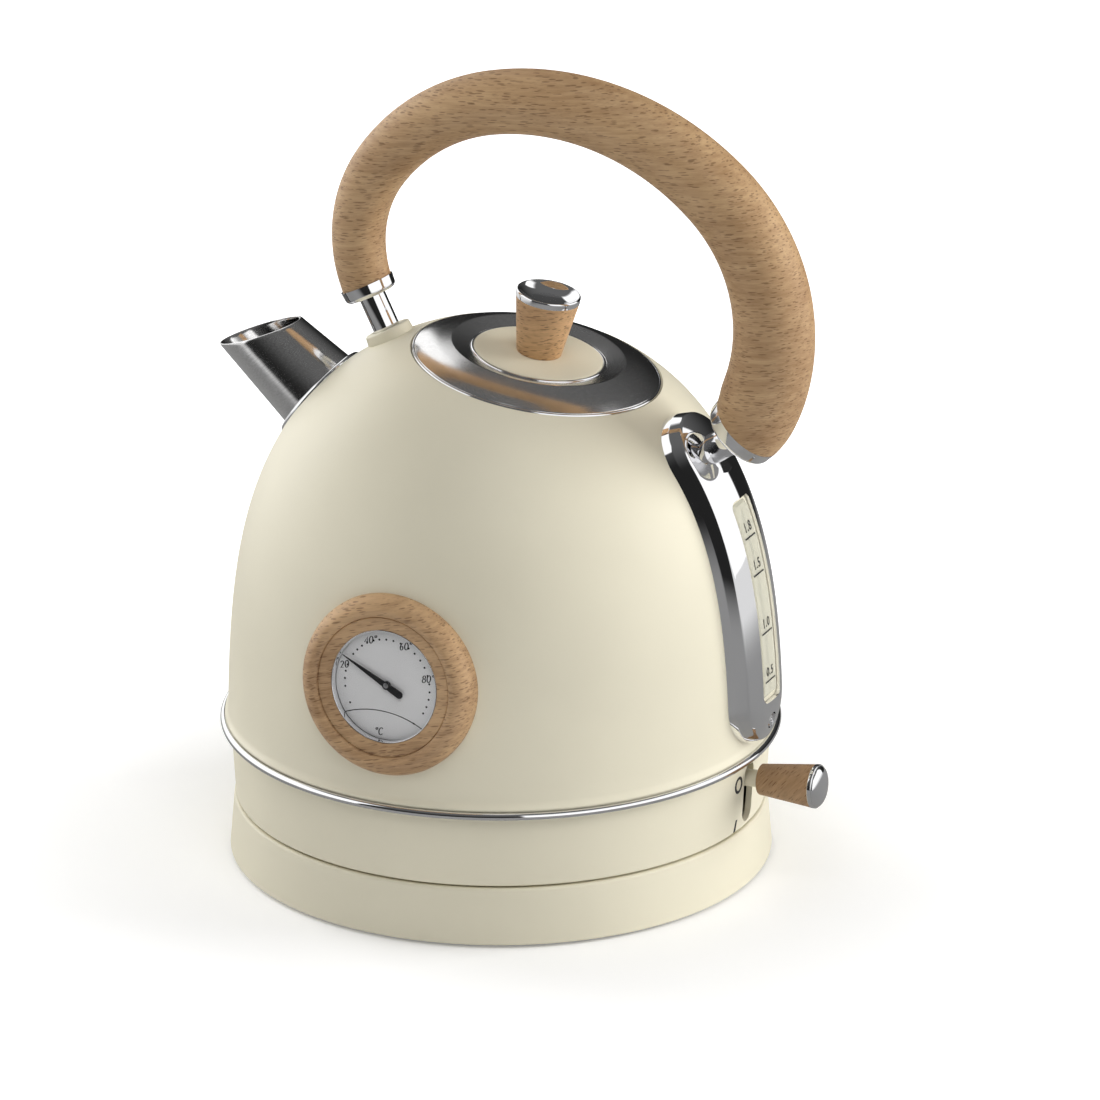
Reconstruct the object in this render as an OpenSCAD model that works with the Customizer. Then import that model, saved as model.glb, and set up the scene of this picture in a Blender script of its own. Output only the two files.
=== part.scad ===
// Domed cordless electric kettle on its power base, with a wooden arched handle,
// a dial thermometer, a rear water window and an on/off lever.
// Millimetres, +Z up. The dome's axis is Z and the table is z = 0.
// The spout points to -X, the handle's thick end and the lever to +X, the dial to -Y.

/* [Power base] */
// Height of the rubber feet below the base
foot_h = 1.2; // [0.8:0.1:3]
// Radius of each foot
foot_r = 4.4; // [3:0.1:7]
// Radius of the base at its lower edge
base_r = 95.7; // [90:0.1:105]
// How much the base narrows towards its top
base_taper = 1.8; // [0:0.1:4]
// Height of the base
base_h = 20.2; // [18:0.1:26]
// Wall of the moulded plastic pieces
plastic_wall = 2.2; // [1.6:0.1:3]
// Radius of the round plug that the kettle sits on
plug_r = 17.4; // [14:0.1:20]
// Height of the plug above the base's deck
plug_rise = 14.2; // [10:0.1:16]
// Radius of the cord that the base takes
cord_r = 3.5; // [2.5:0.1:4.5]

/* [Skirt and trim] */
// Shadow gap between the kettle and its base
seam_gap = 0.7; // [0.5:0.1:1.2]
// How far the skirt's foot stands inside the base's upper edge
skirt_inset = 0.5; // [0.2:0.1:2]
// How much the skirt widens towards its top
skirt_flare = 1.5; // [0:0.1:3]
// Height of the skirt
skirt_h = 26.5; // [24:0.1:34]
// How far the chrome bead stands out past the skirt's top
bead_reach = 3.6; // [2.6:0.1:6]
// Thickness of the chrome bead
bead_d = 2.8; // [2:0.1:3.6]

/* [Dome] */
// How far the dome's widest part stands inside the bead's outer edge
dome_inset = 2.5; // [1.5:0.1:4.5]
// Height of the dome above the trim
dome_h = 142.4; // [136:0.2:150]
// Depth below the trim where the dome's curve would start
dome_drop = 74.5; // [66:0.5:84]
// Squareness of the dome's side
dome_power = 4.86; // [4.4:0.02:5.2]
// Roundness of the dome's crown
dome_round = 1.93; // [1.85:0.01:2.05]
// Thickness of the steel body
steel = 1; // [0.8:0.1:1.2]
// Height of the vessel's floor above the trim
floor_rise = 8.6; // [8:0.1:12]

/* [Spout] */
// Distance of the spout's foot inside the dome's widest part
spout_inset = 25.65; // [22:0.05:30]
// Rise of the spout above level
spout_angle = 38.9; // [34:0.1:44]
// Radius of the spout at its foot
spout_r = 16; // [14.5:0.1:18]
// Narrowing of the spout along its length, per millimetre
spout_taper = 0.089; // [0.05:0.001:0.12]
// Length of the spout along its axis
spout_len = 29; // [24:0.2:36]
// Slope of the spout's mouth, rising towards the handle
mouth_tilt = 20; // [10:0.5:30]
// Wall of the spout
spout_wall = 0.9; // [0.7:0.1:1.4]

/* [Lid] */
// Distance from the axis to the lid's front edge
lid_front = 29.4; // [27:0.1:32]
// Distance from the axis to the lid's back edge
lid_back = 57.2; // [53:0.1:58]
// Depth of the lid's rim below the dome's line
lid_sink = 0.5; // [0:0.1:1]
// Height of the lid's ridge above its rim
ridge_h = 5.8; // [5:0.05:8]
// Radius of the ridge
ridge_r = 30.2; // [28:0.1:33]
// Radius of the painted disc
disc_r = 22.5; // [21:0.1:24]
// Radius of the knob at its foot
knob_foot_r = 7.8; // [7:0.1:10]
// Radius of the knob at its top
knob_top_r = 11.05; // [10:0.05:13]
// Height of the wooden part of the knob
knob_h = 20.1; // [15:0.1:24]

/* [Handle] */
// How far the wood's front end stands out past the front post's foot
handle_reach = 9.6; // [8:0.1:11]
// Height of that end above the front post's foot
handle_rise = 20.3; // [18:0.1:24]
// Heading of the centre line there, from level towards the back
handle_heading = 107.9; // [105:0.1:111]
// Radius of the first bend, at the front
bend_r1 = 46; // [44:0.1:48]
// Turn of the first bend
bend_turn1 = 53.5; // [51:0.1:56]
// Radius of the second bend
bend_r2 = 70.5; // [68:0.1:73]
// Turn of the second bend
bend_turn2 = 42.3; // [40:0.1:44]
// Radius of the third bend
bend_r3 = 94.4; // [92:0.1:97]
// Turn of the third bend
bend_turn3 = 54.4; // [52:0.1:56]
// Radius of the last bend
bend_r4 = 63.8; // [62:0.1:66]
// Turn of the last bend
bend_turn4 = 76.2; // [74:0.1:78]
// Radius of the wood at the front
handle_r0 = 9.05; // [8:0.05:11]
// Radius of the wood at the back, before its end narrows
handle_r1 = 14.6; // [12:0.1:16]
// Distance of the front post's foot from the dome's axis
front_post_x = 41.7; // [40:0.1:46]
// Distance of the rear post's foot from the dome's axis
rear_post_x = 73.9; // [71:0.1:75]
// Radius of the front post and of the rear sleeve
post_r = 4.7; // [4.4:0.1:5.5]

/* [Rear housing] */
// Half width of the chrome housing
housing_w = 17.2; // [15.5:0.1:18.5]
// Height of its centre line above the dome
housing_h = 8.4; // [7.6:0.1:9.2]
// Height of the housing's foot above the trim
housing_foot = 3.9; // [3.6:0.1:6]
// Half width of the window slot
window_w = 7.3; // [7:0.1:7.7]
// Height of the slot's lower end above the trim
window_low = 19.8; // [18.4:0.1:24]
// Distance of the slot's upper end below the rear post's foot
window_gap = 14.5; // [13.8:0.1:20]

/* [Dial] */
// Height of the dial's centre above the trim
dial_rise = 42.5; // [38:0.1:46]
// Outer radius of the wooden ring
dial_ring_r = 31.7; // [29:0.1:34]
// Radius of the dial's glass
dial_glass_r = 19.4; // [18:0.1:21]
// Height of the wooden ring above the dome
dial_ring_h = 4.2; // [3.8:0.1:6]
// Angle of the needle at rest, from the dial's right-hand side
needle_rest = 153; // [148:0.5:158]

/* [Lever] */
// Height of the lever's pivot above the table
pivot_z = 39; // [38.5:0.1:40.5]
// Distance of the pivot inside the skirt's foot
pivot_inset = 23.4; // [21.4:0.1:24.4]
// Rise of the lever above level at rest
lever_rise = 2; // [0:0.5:3]
// Distance from the pivot to the wooden grip
lever_neck = 28.9; // [28.5:0.1:31]
// Length of the wooden grip
grip_len = 20.1; // [16:0.1:24]
// Radius of the grip at its inner end
grip_r0 = 5.4; // [5:0.1:6]
// Radius of the grip at its outer end
grip_r1 = 7.6; // [7:0.1:8.5]

/* [Fits] */
// Gap where two pieces of one assembly meet on a curve
seat = 0.1; // [0.06:0.02:0.2]
// Gap between pieces that move past each other
run = 0.3; // [0.3:0.05:0.5]

/* [Hidden] */

// Colours
cream = [0.88, 0.85, 0.74];
chrome = [0.82, 0.83, 0.85];
brushed = [0.62, 0.62, 0.63];
beech = [0.76, 0.58, 0.40];
dark = [0.16, 0.16, 0.17];
brass = [0.78, 0.62, 0.30];
clear = [0.85, 0.90, 0.92, 0.5];

// Facets of the round pieces
fine = 96;
coarse = 32;

// Heights of the stack, from the table up
base_top = foot_h + base_h;
skirt_z = base_top + seam_gap;
skirt_top = skirt_z + skirt_h;
web_h = 1;
web_z = skirt_top + seat;
body_z = web_z + web_h + seat;
floor_z = body_z + floor_rise;
base_top_r = base_r - base_taper;
skirt_r = base_top_r - skirt_inset;
skirt_top_r = skirt_r + skirt_flare;
bead_r = skirt_top_r + bead_reach;
dome_r = bead_r - dome_inset;
spout_foot = dome_r - spout_inset;

// ---- The dome's curve: radius by height, height by radius, and its normal ----
dome_peak = body_z + dome_h;
dome_foot = body_z - dome_drop;
dome_span = dome_peak - dome_foot;
function dome_radius(z) =
    dome_r * pow(1 - pow((z - dome_foot) / dome_span, dome_power), 1 / dome_round);
function dome_height(r) =
    dome_foot + dome_span * pow(1 - pow(r / dome_r, dome_round), 1 / dome_power);
slope_step = 0.01;
function dome_normal(z) =
    atan(-(dome_radius(z + slope_step) - dome_radius(z - slope_step)) / (2 * slope_step));
function dome_point(z, out) =
    [dome_radius(z) + out * cos(dome_normal(z)), z + out * sin(dome_normal(z))];
dome_bands = 22;
function dome_line(low, out) = [
    for (i = [0:dome_bands])
        dome_point(low + (dome_peak - 0.6 - low) * sin(90 * i / dome_bands), out)
];
function reversed(list) = [for (i = [len(list) - 1:-1:0]) list[i]];

// Solid under the dome's surface, moved out by a distance
module dome_solid(low, out) {
    rotate_extrude($fn = fine)
        polygon(concat([[0, low]], dome_line(low, out), [[0, dome_peak + out]]));
}

// Places children at a point of the X-Z plane, with +Z turned to an angle above +X
module aim(point, angle) {
    translate([point[0], 0, point[1]]) rotate([0, 90 - angle, 0]) children();
}

module tube(r_out, r_in, low, high, facets = fine) {
    translate([0, 0, low])
        difference() {
            cylinder(r = r_out, h = high - low, $fn = facets);
            translate([0, 0, -1]) cylinder(r = r_in, h = high - low + 2, $fn = facets);
        }
}

module disc(r, low, high, facets = fine) {
    translate([0, 0, low]) cylinder(r = r, h = high - low, $fn = facets);
}

// ---- Power base ----
foot_ring = base_r - foot_r - 0.6;
foot_count = 4;
foot_pocket = 1;
plate_h = 2;
plate_r = base_r - plastic_wall - 1.2;
hub_r = plug_r + seat + plastic_wall;
plug_top = base_top + plug_rise;
plug_flange_z = base_top - plastic_wall - 2;
gland_z = foot_h + 10;
gland_r = cord_r + 2;
gland_len = 14;
gland_flange = 2;
screw_ring = 58;
screw_count = 3;
screw_r = 1.8;
slot_rings = [[6.4, 8.6], [11.4, 13.6]];
slot_depth = plug_rise - 1;
pin_bore = 3;

module feet_ring(count, radius, turn = 45) {
    for (i = [0:count - 1]) rotate([0, 0, turn + i * 360 / count]) translate([radius, 0, 0]) children();
}

module power_base_shell() {
    edge = 1.2;
    color(cream)
        difference() {
            rotate_extrude($fn = fine)
                polygon([
                    [hub_r - plastic_wall, base_top - plastic_wall], [hub_r, base_top - plastic_wall],
                    [base_top_r - plastic_wall, base_top - plastic_wall],
                    [base_r - plastic_wall, foot_h], [base_r - edge / 2, foot_h],
                    [base_r, foot_h + edge / 2], [base_top_r + 0.2, base_top - edge],
                    [base_top_r - edge * 0.3, base_top - edge * 0.3], [base_top_r - edge, base_top],
                    [hub_r - plastic_wall, base_top]
                ]);
            translate([0, base_top_r - gland_len, gland_z])
                rotate([-90, 0, 0]) cylinder(r = gland_r + seat, h = 2 * gland_len, $fn = coarse);
        }
    color(cream)
        feet_ring(screw_count, screw_ring, 30)
            difference() {
                disc(screw_r + 2.4, foot_h + plate_h, base_top - plastic_wall + 0.5, coarse);
                disc(screw_r + seat, foot_h + plate_h - 1, base_top - plastic_wall, coarse);
            }
}

module power_base_plate() {
    pad_r = 26;
    color(dark)
        difference() {
            union() {
                disc(plate_r, foot_h, foot_h + plate_h);
                disc(pad_r, 0, foot_h + 1);
            }
            feet_ring(foot_count, foot_ring - foot_r)
                disc(foot_r + seat, foot_h - 1, foot_h + foot_pocket, coarse);
            feet_ring(screw_count, screw_ring, 30)
                disc(screw_r + seat, foot_h - 1, foot_h + plate_h + 1, coarse);
            feet_ring(screw_count, screw_ring, 30)
                disc(2 * screw_r + seat, foot_h - 1, foot_h + 1, coarse);
        }
}

module base_feet() {
    color(cream)
        feet_ring(foot_count, foot_ring - foot_r) disc(foot_r, 0, foot_h + foot_pocket, coarse);
}

module base_screws() {
    color(chrome)
        feet_ring(screw_count, screw_ring, 30) {
            disc(2 * screw_r, foot_h + 0.2, foot_h + 1, coarse);
            disc(screw_r, foot_h + 1, foot_h + 12, coarse);
        }
}

module base_plug() {
    color(dark)
        rotate_extrude($fn = fine)
            polygon([
                [pin_bore, plug_flange_z - 4], [hub_r + 2, plug_flange_z - 4],
                [hub_r + 2, base_top - plastic_wall - seat], [plug_r, base_top - plastic_wall - seat],
                [plug_r, plug_top - 1.5], [plug_r - 1.5, plug_top],
                [slot_rings[1][1], plug_top], [slot_rings[1][1], plug_top - slot_depth],
                [slot_rings[1][0], plug_top - slot_depth], [slot_rings[1][0], plug_top],
                [slot_rings[0][1], plug_top], [slot_rings[0][1], plug_top - slot_depth],
                [slot_rings[0][0], plug_top - slot_depth], [slot_rings[0][0], plug_top],
                [pin_bore, plug_top]
            ]);
    color(dark)
        feet_ring(4, hub_r - 2, 0) disc(3, foot_h + plate_h, plug_flange_z - 3.5, coarse);
}

module base_contacts() {
    contact_h = 1;
    color(brass) {
        for (ring = slot_rings)
            tube(ring[1] - seat, ring[0] + seat, plug_top - slot_depth, plug_top - slot_depth + contact_h);
        tube(pin_bore - seat, 1.6, plug_flange_z - 4, plug_top - slot_depth, coarse);
        disc(pin_bore - seat, plug_flange_z - 5, plug_flange_z - 4, coarse);
    }
}

module cord_gland() {
    color(dark)
        translate([0, base_top_r - gland_len + gland_flange + 2, gland_z])
            rotate([-90, 0, 0])
                difference() {
                    union() {
                        cylinder(r = gland_r, h = gland_len, $fn = coarse);
                        cylinder(r = gland_r + 2, h = 8, $fn = coarse);
                    }
                    translate([0, 0, -1]) cylinder(r = cord_r, h = gland_len + 2, $fn = coarse);
                }
}

// ---- Underside of the kettle: socket, skirt and cover ----
socket_r = plug_r + run + 0.4;
socket_wall = 2;
socket_low = base_top + run + 0.6;
socket_top = plug_top + 1.6;
socket_lid = 2;
cover_h = 2;
cover_r = skirt_r - plastic_wall - 0.3;
ledge_w = 5;
rest_r = 72;
rest_w = 4;
cover_z = skirt_z + 0.4;
boss_r = 4;
boss_ring = skirt_r - plastic_wall - ledge_w - boss_r + 2;
boss_h = 14;
slot_half = 4;
slot_low = skirt_z + 1.5;
slot_high = skirt_top - 2.9;

module socket_housing() {
    color(dark) {
        tube(socket_r + socket_wall, socket_r, socket_low, socket_top + socket_lid);
        difference() {
            disc(socket_r + 1, socket_top, socket_top + socket_lid);
            for (ring = slot_rings)
                tube(ring[1] - 0.6, ring[0] + 0.6, socket_top - 1, socket_top + socket_lid / 2);
            disc(2.4, socket_top - 1, socket_top + socket_lid / 2, coarse);
        }
    }
}

module socket_contacts() {
    reach = plug_rise - 3.4;
    color(brass) {
        for (ring = slot_rings)
            tube(ring[1] - 0.7, ring[0] + 0.7, socket_top - reach, socket_top + socket_lid / 2);
        disc(2.3, socket_top - reach - 1, socket_top + socket_lid / 2, coarse);
    }
}

module screw_points() {
    feet_ring(3, boss_ring, 60) children();
}

module skirt() {
    inner = skirt_r - plastic_wall;
    edge = 1;
    color(cream)
        difference() {
            union() {
                rotate_extrude($fn = fine)
                    polygon([
                        [inner, skirt_z], [skirt_r - edge, skirt_z],
                        [skirt_r - edge * 0.3, skirt_z + edge * 0.3], [skirt_r, skirt_z + edge],
                        [skirt_top_r, skirt_top], [inner - ledge_w, skirt_top],
                        [inner - ledge_w, skirt_top - 2],
                        [inner + skirt_flare - 0.3, skirt_top - 2],
                        [inner + 0.2, cover_z + cover_h + 2.1],
                        [inner - 1.6, cover_z + cover_h + 2.1],
                        [inner - 1.6, cover_z + cover_h + seat], [inner, cover_z + cover_h + seat]
                    ]);
                screw_points() {
                    disc(boss_r, cover_z + cover_h + seat, cover_z + cover_h + boss_h, coarse);
                    translate([0, -1.5, cover_z + cover_h + seat])
                        cube([inner - boss_ring + 0.8, 3, boss_h - 2]);
                }
            }
            screw_points() disc(screw_r + seat, cover_z, cover_z + cover_h + boss_h - 2, coarse);
            lever_slot();
        }
}

// The lever's slot: two round ends and the straight part between them
module lever_slot() {
    depth = 3 * plastic_wall + ledge_w;
    translate([skirt_top_r - depth, 0, 0]) rotate([0, 90, 0]) {
        translate([-slot_low - slot_half, 0, 0]) cylinder(r = slot_half, h = 2 * depth, $fn = coarse);
        translate([-slot_high + slot_half, 0, 0]) cylinder(r = slot_half, h = 2 * depth, $fn = coarse);
        translate([-slot_high + slot_half, -slot_half, 0])
            cube([slot_high - slot_low - 2 * slot_half, 2 * slot_half, 2 * depth]);
    }
}

module bottom_cover() {
    color(cream)
        difference() {
            union() {
                disc(cover_r, cover_z, cover_z + cover_h);
                tube(rest_r + rest_w / 2, rest_r - rest_w / 2, base_top + run, cover_z);
                tube(socket_r + socket_wall + seat + 2, socket_r + socket_wall + seat,
                     cover_z, cover_z + cover_h + 4);
            }
            disc(socket_r + socket_wall + seat, cover_z - 1, cover_z + cover_h + 5);
            screw_points() disc(screw_r + seat, cover_z - 1, cover_z + cover_h + 1, coarse);
            screw_points() disc(2 * screw_r + seat, cover_z - 1, cover_z + 1, coarse);
        }
}

module cover_screws() {
    color(chrome)
        screw_points() {
            disc(2 * screw_r, cover_z + 0.1, cover_z + 1, coarse);
            disc(screw_r, cover_z + 1, cover_z + 12, coarse);
        }
}

module trim_ring() {
    color(chrome) {
        translate([0, 0, web_z + web_h / 2])
            rotate_extrude($fn = fine)
                translate([bead_r - bead_d / 2, 0]) circle(d = bead_d, $fn = coarse);
        tube(bead_r - bead_d / 2, skirt_r - plastic_wall - ledge_w, web_z, web_z + web_h);
    }
}

// ---- Vessel ----
lip_r = bead_r - bead_d / 2 - 0.2;
lip_z = web_z + web_h / 2 + bead_d / 2 + 0.2;
lip_h = 3.4;
lid_hole_gap = 0.1;
lid_rim_gap = 0.35;
shell_out = dome_line(body_z + lip_h + 1.6, 0);
shell_in = dome_line(body_z, -steel);

// Lid geometry: the rim's plane cuts the dome at its front and back edges
lid_f = [-lid_front, dome_height(lid_front)];
lid_b = [lid_back, dome_height(lid_back)];
lid_r = norm(lid_b - lid_f) / 2;
lid_tilt = atan((lid_f[1] - lid_b[1]) / (lid_b[0] - lid_f[0]));
lid_mid = (lid_f + lid_b) / 2 - lid_sink * [sin(lid_tilt), cos(lid_tilt)];
module on_lid() { aim(lid_mid, 90 - lid_tilt) children(); }

// Spout geometry: its axis starts on the dome and rises towards -X
spout_base = [-spout_foot, dome_height(spout_foot)];
module on_spout() { aim(spout_base, 180 - spout_angle) children(); }
filter_r = spout_r - spout_wall - 1.6;

// Handle geometry: arcs that meet smoothly, as [radius, turn], from the front end to the back end
handle_arcs = [
    [bend_r1, bend_turn1], [bend_r2, bend_turn2], [bend_r3, bend_turn3], [bend_r4, bend_turn4]
];
front_foot = [-front_post_x, dome_height(front_post_x)];
rear_foot = [rear_post_x, dome_height(rear_post_x)];
handle_start = front_foot + [-handle_reach, handle_rise];
function arc_len(arc) = arc[0] * arc[1] * PI / 180;
function arc_end(p, angle, r, turn) =
    p + r * [sin(angle) - sin(angle - turn), cos(angle - turn) - cos(angle)];
function ahead(p, angle, s) = p + s * [cos(angle), sin(angle)];
// Place and heading at a distance along the wood's centre line, straight beyond both ends
function walk(s, i = 0, p = handle_start, angle = handle_heading) =
    s <= 0 || i == len(handle_arcs) ? [ahead(p, angle, s), angle]
    : let (arc = handle_arcs[i], turn = min(arc[1], 180 * s / (PI * arc[0])))
        s <= arc_len(arc) ? [arc_end(p, angle, arc[0], turn), angle - turn]
        : walk(s - arc_len(arc), i + 1, arc_end(p, angle, arc[0], turn), angle - turn);
handle_len = arc_len(handle_arcs[0]) + arc_len(handle_arcs[1])
    + arc_len(handle_arcs[2]) + arc_len(handle_arcs[3]);
front_spare = 2.3;
rear_spare = 3.6;
front_turn = 7.5;
rear_turn = 13.6;
function heading(from, to) = atan2(to[1] - from[1], to[0] - from[0]);
front_end = walk(-front_spare)[0];
front_angle = walk(0)[1] - 180 + front_turn;
rear_end = walk(handle_len + rear_spare)[0];
rear_angle = walk(handle_len)[1] - rear_turn;
ferrule_front_h = 4.3;
ferrule_rear_h = 5.2;
front_low = front_end + ferrule_front_h * [cos(front_angle), sin(front_angle)];
rear_low = rear_end + ferrule_rear_h * [cos(rear_angle), sin(rear_angle)];
front_up = heading(front_foot, front_low);
rear_up = heading(rear_foot, rear_low);
front_len = norm(front_low - front_foot);
rear_len = norm(rear_low - rear_foot);
stud_r = 2.4;
boss_top = 3.2;

// Dial geometry: its axis is the dome's normal at its centre
dial_z = body_z + dial_rise;
module on_dial() {
    translate([0, -dome_radius(dial_z), dial_z]) rotate([90 - dome_normal(dial_z), 0, 0]) children();
}
cup_r = dial_glass_r + 0.6;

module body_shell() {
    color(cream)
        difference() {
            rotate_extrude($fn = fine)
                polygon(concat(
                    [[dome_point(body_z, -steel)[0], body_z], [dome_point(body_z, 0)[0], body_z],
                     [dome_point(body_z, 0)[0], lip_z - 0.1], [lip_r, lip_z], [lip_r, lip_z + 0.6],
                     [dome_radius(lip_z) + 0.5, lip_z + 2.2]],
                    shell_out, [[0, dome_peak]], [[0, dome_peak - steel]], reversed(shell_in)
                ));
            on_lid() disc(lid_r + lid_hole_gap, -30, 60);
            on_spout() disc(filter_r + seat, -20, 20);
            on_dial() disc(cup_r + seat, -20, 20);
            aim(front_foot, front_up) disc(stud_r + seat, -20, 20, coarse);
            aim(rear_foot, rear_up) disc(stud_r + seat, -20, 20, coarse);
            slot(lens_w + seat);
        }
}

module floor_plate() {
    rim_h = 6;
    low_r = dome_point(floor_z, -steel)[0] - seat;
    high_r = dome_point(floor_z + rim_h, -steel)[0] - seat;
    color(brushed)
        difference() {
            rotate_extrude($fn = fine)
                polygon([
                    [0, floor_z - steel], [low_r - 1.5, floor_z - steel], [low_r, floor_z + 0.5],
                    [high_r, floor_z + rim_h], [high_r - steel, floor_z + rim_h],
                    [low_r - steel, floor_z + 0.8], [low_r - 2, floor_z], [0, floor_z]
                ]);
            translate([steam_at[0], steam_at[1], 0])
                disc(steam_r + seat, floor_z - 5, floor_z + 5, coarse);
        }
}

spreader_r = 56;
spreader_h = 2;
element_r = 46;
element_tube = 3.4;
spreader_z = floor_z - steel - spreader_h;
thermostat_h = 7;
thermostat_z = socket_top + socket_lid;

module heat_spreader() {
    color(brushed) disc(spreader_r, spreader_z, floor_z - steel);
}

module heating_element() {
    opening = 30;
    color(brushed) {
        translate([0, 0, spreader_z - element_tube])
            rotate([0, 0, opening / 2])
                rotate_extrude(angle = 360 - opening, $fn = fine)
                    translate([element_r, 0]) circle(r = element_tube, $fn = coarse);
        for (side = [-1, 1])
            rotate([0, 0, side * (opening / 2 + 4)])
                translate([element_r, 0, 0])
                    disc(1.8, spreader_z - element_tube - 9, spreader_z - element_tube, coarse);
    }
}

module thermostat() {
    color(dark) {
        disc(socket_r + socket_wall + 1, thermostat_z, thermostat_z + thermostat_h);
        for (side = [-1, 1])
            translate([side * 14, 0, 0]) disc(3, thermostat_z + thermostat_h - 0.5, spreader_z, coarse);
        for (turn = [30, 150, 270])
            rotate([0, 0, turn]) translate([socket_r + socket_wall - 2, -4, thermostat_z])
                cube([9, 8, 2]);
    }
}

steam_r = 4;
steam_inset = 27.4;
steam_at = [skirt_r - steam_inset, 20];
switch_size = [24, 18, 16];
switch_low = cover_z + cover_h;
switch_top = switch_low + switch_size[2];

module steam_switch() {
    inlet_h = 5;
    color(dark)
        difference() {
            translate([steam_at[0], steam_at[1], 0]) {
                translate([-switch_size[0] / 2, -switch_size[1] / 2, switch_low]) cube(switch_size);
                disc(steam_r + 2, switch_top, switch_top + inlet_h, coarse);
            }
            translate([steam_at[0], steam_at[1], 0])
                disc(steam_r + seat, switch_top - 4, switch_top + inlet_h + 1, coarse);
        }
}

module steam_tube() {
    steam_top = dome_height(norm(steam_at) + steam_r) - 18;
    color(brushed)
        translate([steam_at[0], steam_at[1], 0])
            difference() {
                tube(steam_r, steam_r - 0.8, switch_top - 4, steam_top, coarse);
                translate([-steam_r - 1, 0, steam_top - 3])
                    rotate([0, -35, 0])
                        cube([20, 20, 12], center = false);
            }
}

// ---- Spout ----
module spout_cone(extra, low, high) {
    translate([0, 0, low])
        cylinder(r1 = spout_r + extra - spout_taper * low, r2 = spout_r + extra - spout_taper * high,
                 h = high - low, $fn = fine);
}

module spout() {
    reach = 3 * spout_r;
    color(brushed)
        difference() {
            on_spout()
                difference() {
                    spout_cone(0, -8, spout_len + reach / 2);
                    spout_cone(-spout_wall, -9, spout_len + reach / 2 + 1);
                    translate([0, 0, spout_len])
                        rotate([0, 90 - spout_angle - mouth_tilt, 0])
                            translate([-reach, -reach, 0]) cube([2 * reach, 2 * reach, 2 * reach]);
                }
            dome_solid(body_z, seat);
        }
}

module spout_flange() {
    flange_w = 3.2;
    flange_h = 1;
    color(chrome)
        difference() {
            intersection() {
                on_spout()
                    difference() {
                        disc(spout_r + flange_w, -12, 14);
                        spout_cone(seat, -13, 15);
                    }
                dome_solid(body_z, flange_h);
            }
            dome_solid(body_z, seat);
        }
}

module spout_filter() {
    mesh_z = -5;
    hole_r = 1.3;
    pitch = 3.6;
    color(brushed)
        on_spout() {
            tube(filter_r, filter_r - 1.2, mesh_z, 4);
            difference() {
                disc(filter_r - 1.19, mesh_z, mesh_z + 1);
                for (row = [-2:2], col = [-2:2])
                    if (abs(2 * row + col) <= 4 && abs(col) <= 2)
                        translate([(row + col / 2) * pitch, col * pitch * sin(60), mesh_z - 1])
                            cylinder(r = hole_r, h = 3, $fn = 16);
            }
        }
}

// Ring pressed into the lid's opening: it carries the lid and its gasket
neck_r = lid_r - 3.6;
seat_z = -lid_sink - steel - 0.5;
seat_depth = 14;
module lid_seat() {
    color(brushed)
        intersection() {
            on_lid()
                rotate_extrude($fn = fine)
                    polygon([
                        [neck_r, seat_z - seat_depth], [neck_r + 0.8, seat_z - seat_depth],
                        [neck_r + 0.8, seat_z - 1],
                        [lid_r + 4, seat_z - 3.4], [lid_r + 4, seat_z + 3],
                        [lid_r + lid_hole_gap, seat_z + 3], [lid_r + lid_hole_gap - 0.4, seat_z],
                        [neck_r, seat_z]
                    ]);
            dome_solid(body_z, -steel - seat);
        }
}

// ---- Handle ----
grip_rings = 48;
grip_sides = 28;
grip_spare = 10;
end_round = 9;
end_narrow = 1.3;
function grip_radius(s) =
    handle_r0 + (handle_r1 - handle_r0) * s / handle_len
    - end_narrow * pow(max(0, 1 - (handle_len + rear_spare - s) / end_round), 2);
function grip_ring(i) =
    let (s = -grip_spare + (handle_len + 2 * grip_spare) * i / grip_rings,
         at = walk(s), c = at[0], a = at[1] + 90, r = grip_radius(min(s, handle_len + rear_spare)))
    [for (j = [0:grip_sides - 1])
        let (t = 360 * j / grip_sides)
        [c[0] + r * cos(t) * cos(a), r * sin(t), c[1] + r * cos(t) * sin(a)]];
grip_points = [for (i = [0:grip_rings]) each grip_ring(i)];
grip_faces = concat(
    [[for (j = [0:grip_sides - 1]) j]],
    [for (i = [0:grip_rings - 1], j = [0:grip_sides - 1])
        let (a = i * grip_sides + j, b = i * grip_sides + (j + 1) % grip_sides)
        [a, a + grip_sides, b + grip_sides, b]],
    [[for (j = [grip_sides - 1:-1:0]) grip_rings * grip_sides + j]]
);
stud_bore = 16;
end_cut = 3 * handle_r1;

module handle_grip() {
    color(beech)
        difference() {
            polyhedron(points = grip_points, faces = grip_faces);
            aim(front_end, front_angle) translate([-end_cut / 2, -end_cut / 2, 0]) cube(end_cut);
            aim(rear_end, rear_angle) translate([-end_cut / 2, -end_cut / 2, 0]) cube(end_cut);
            aim(front_end, front_angle) disc(stud_r + seat, -stud_bore, 1, coarse);
            aim(rear_end, rear_angle) disc(stud_r + seat, -stud_bore, 1, coarse);
        }
}

module ferrule(r_wood, r_low, h) {
    difference() {
        rotate_extrude($fn = fine)
            polygon([[0, 0], [r_wood, 0], [r_wood, h * 0.25], [r_low + 0.4, h * 0.75],
                     [r_low - 0.4, h - 0.3], [r_low - 1.2, h], [0, h]]);
        disc(stud_r + seat, -1, h + 1, coarse);
    }
}

module front_ferrule() {
    color(chrome)
        aim(front_end, front_angle)
            ferrule(handle_r0 + 0.55, handle_r0 + 0.25, ferrule_front_h);
}

module rear_ferrule() {
    color(chrome) aim(rear_end, rear_angle) ferrule(handle_r1 - 1.2, handle_r1 - 2.3, ferrule_rear_h);
}

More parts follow.
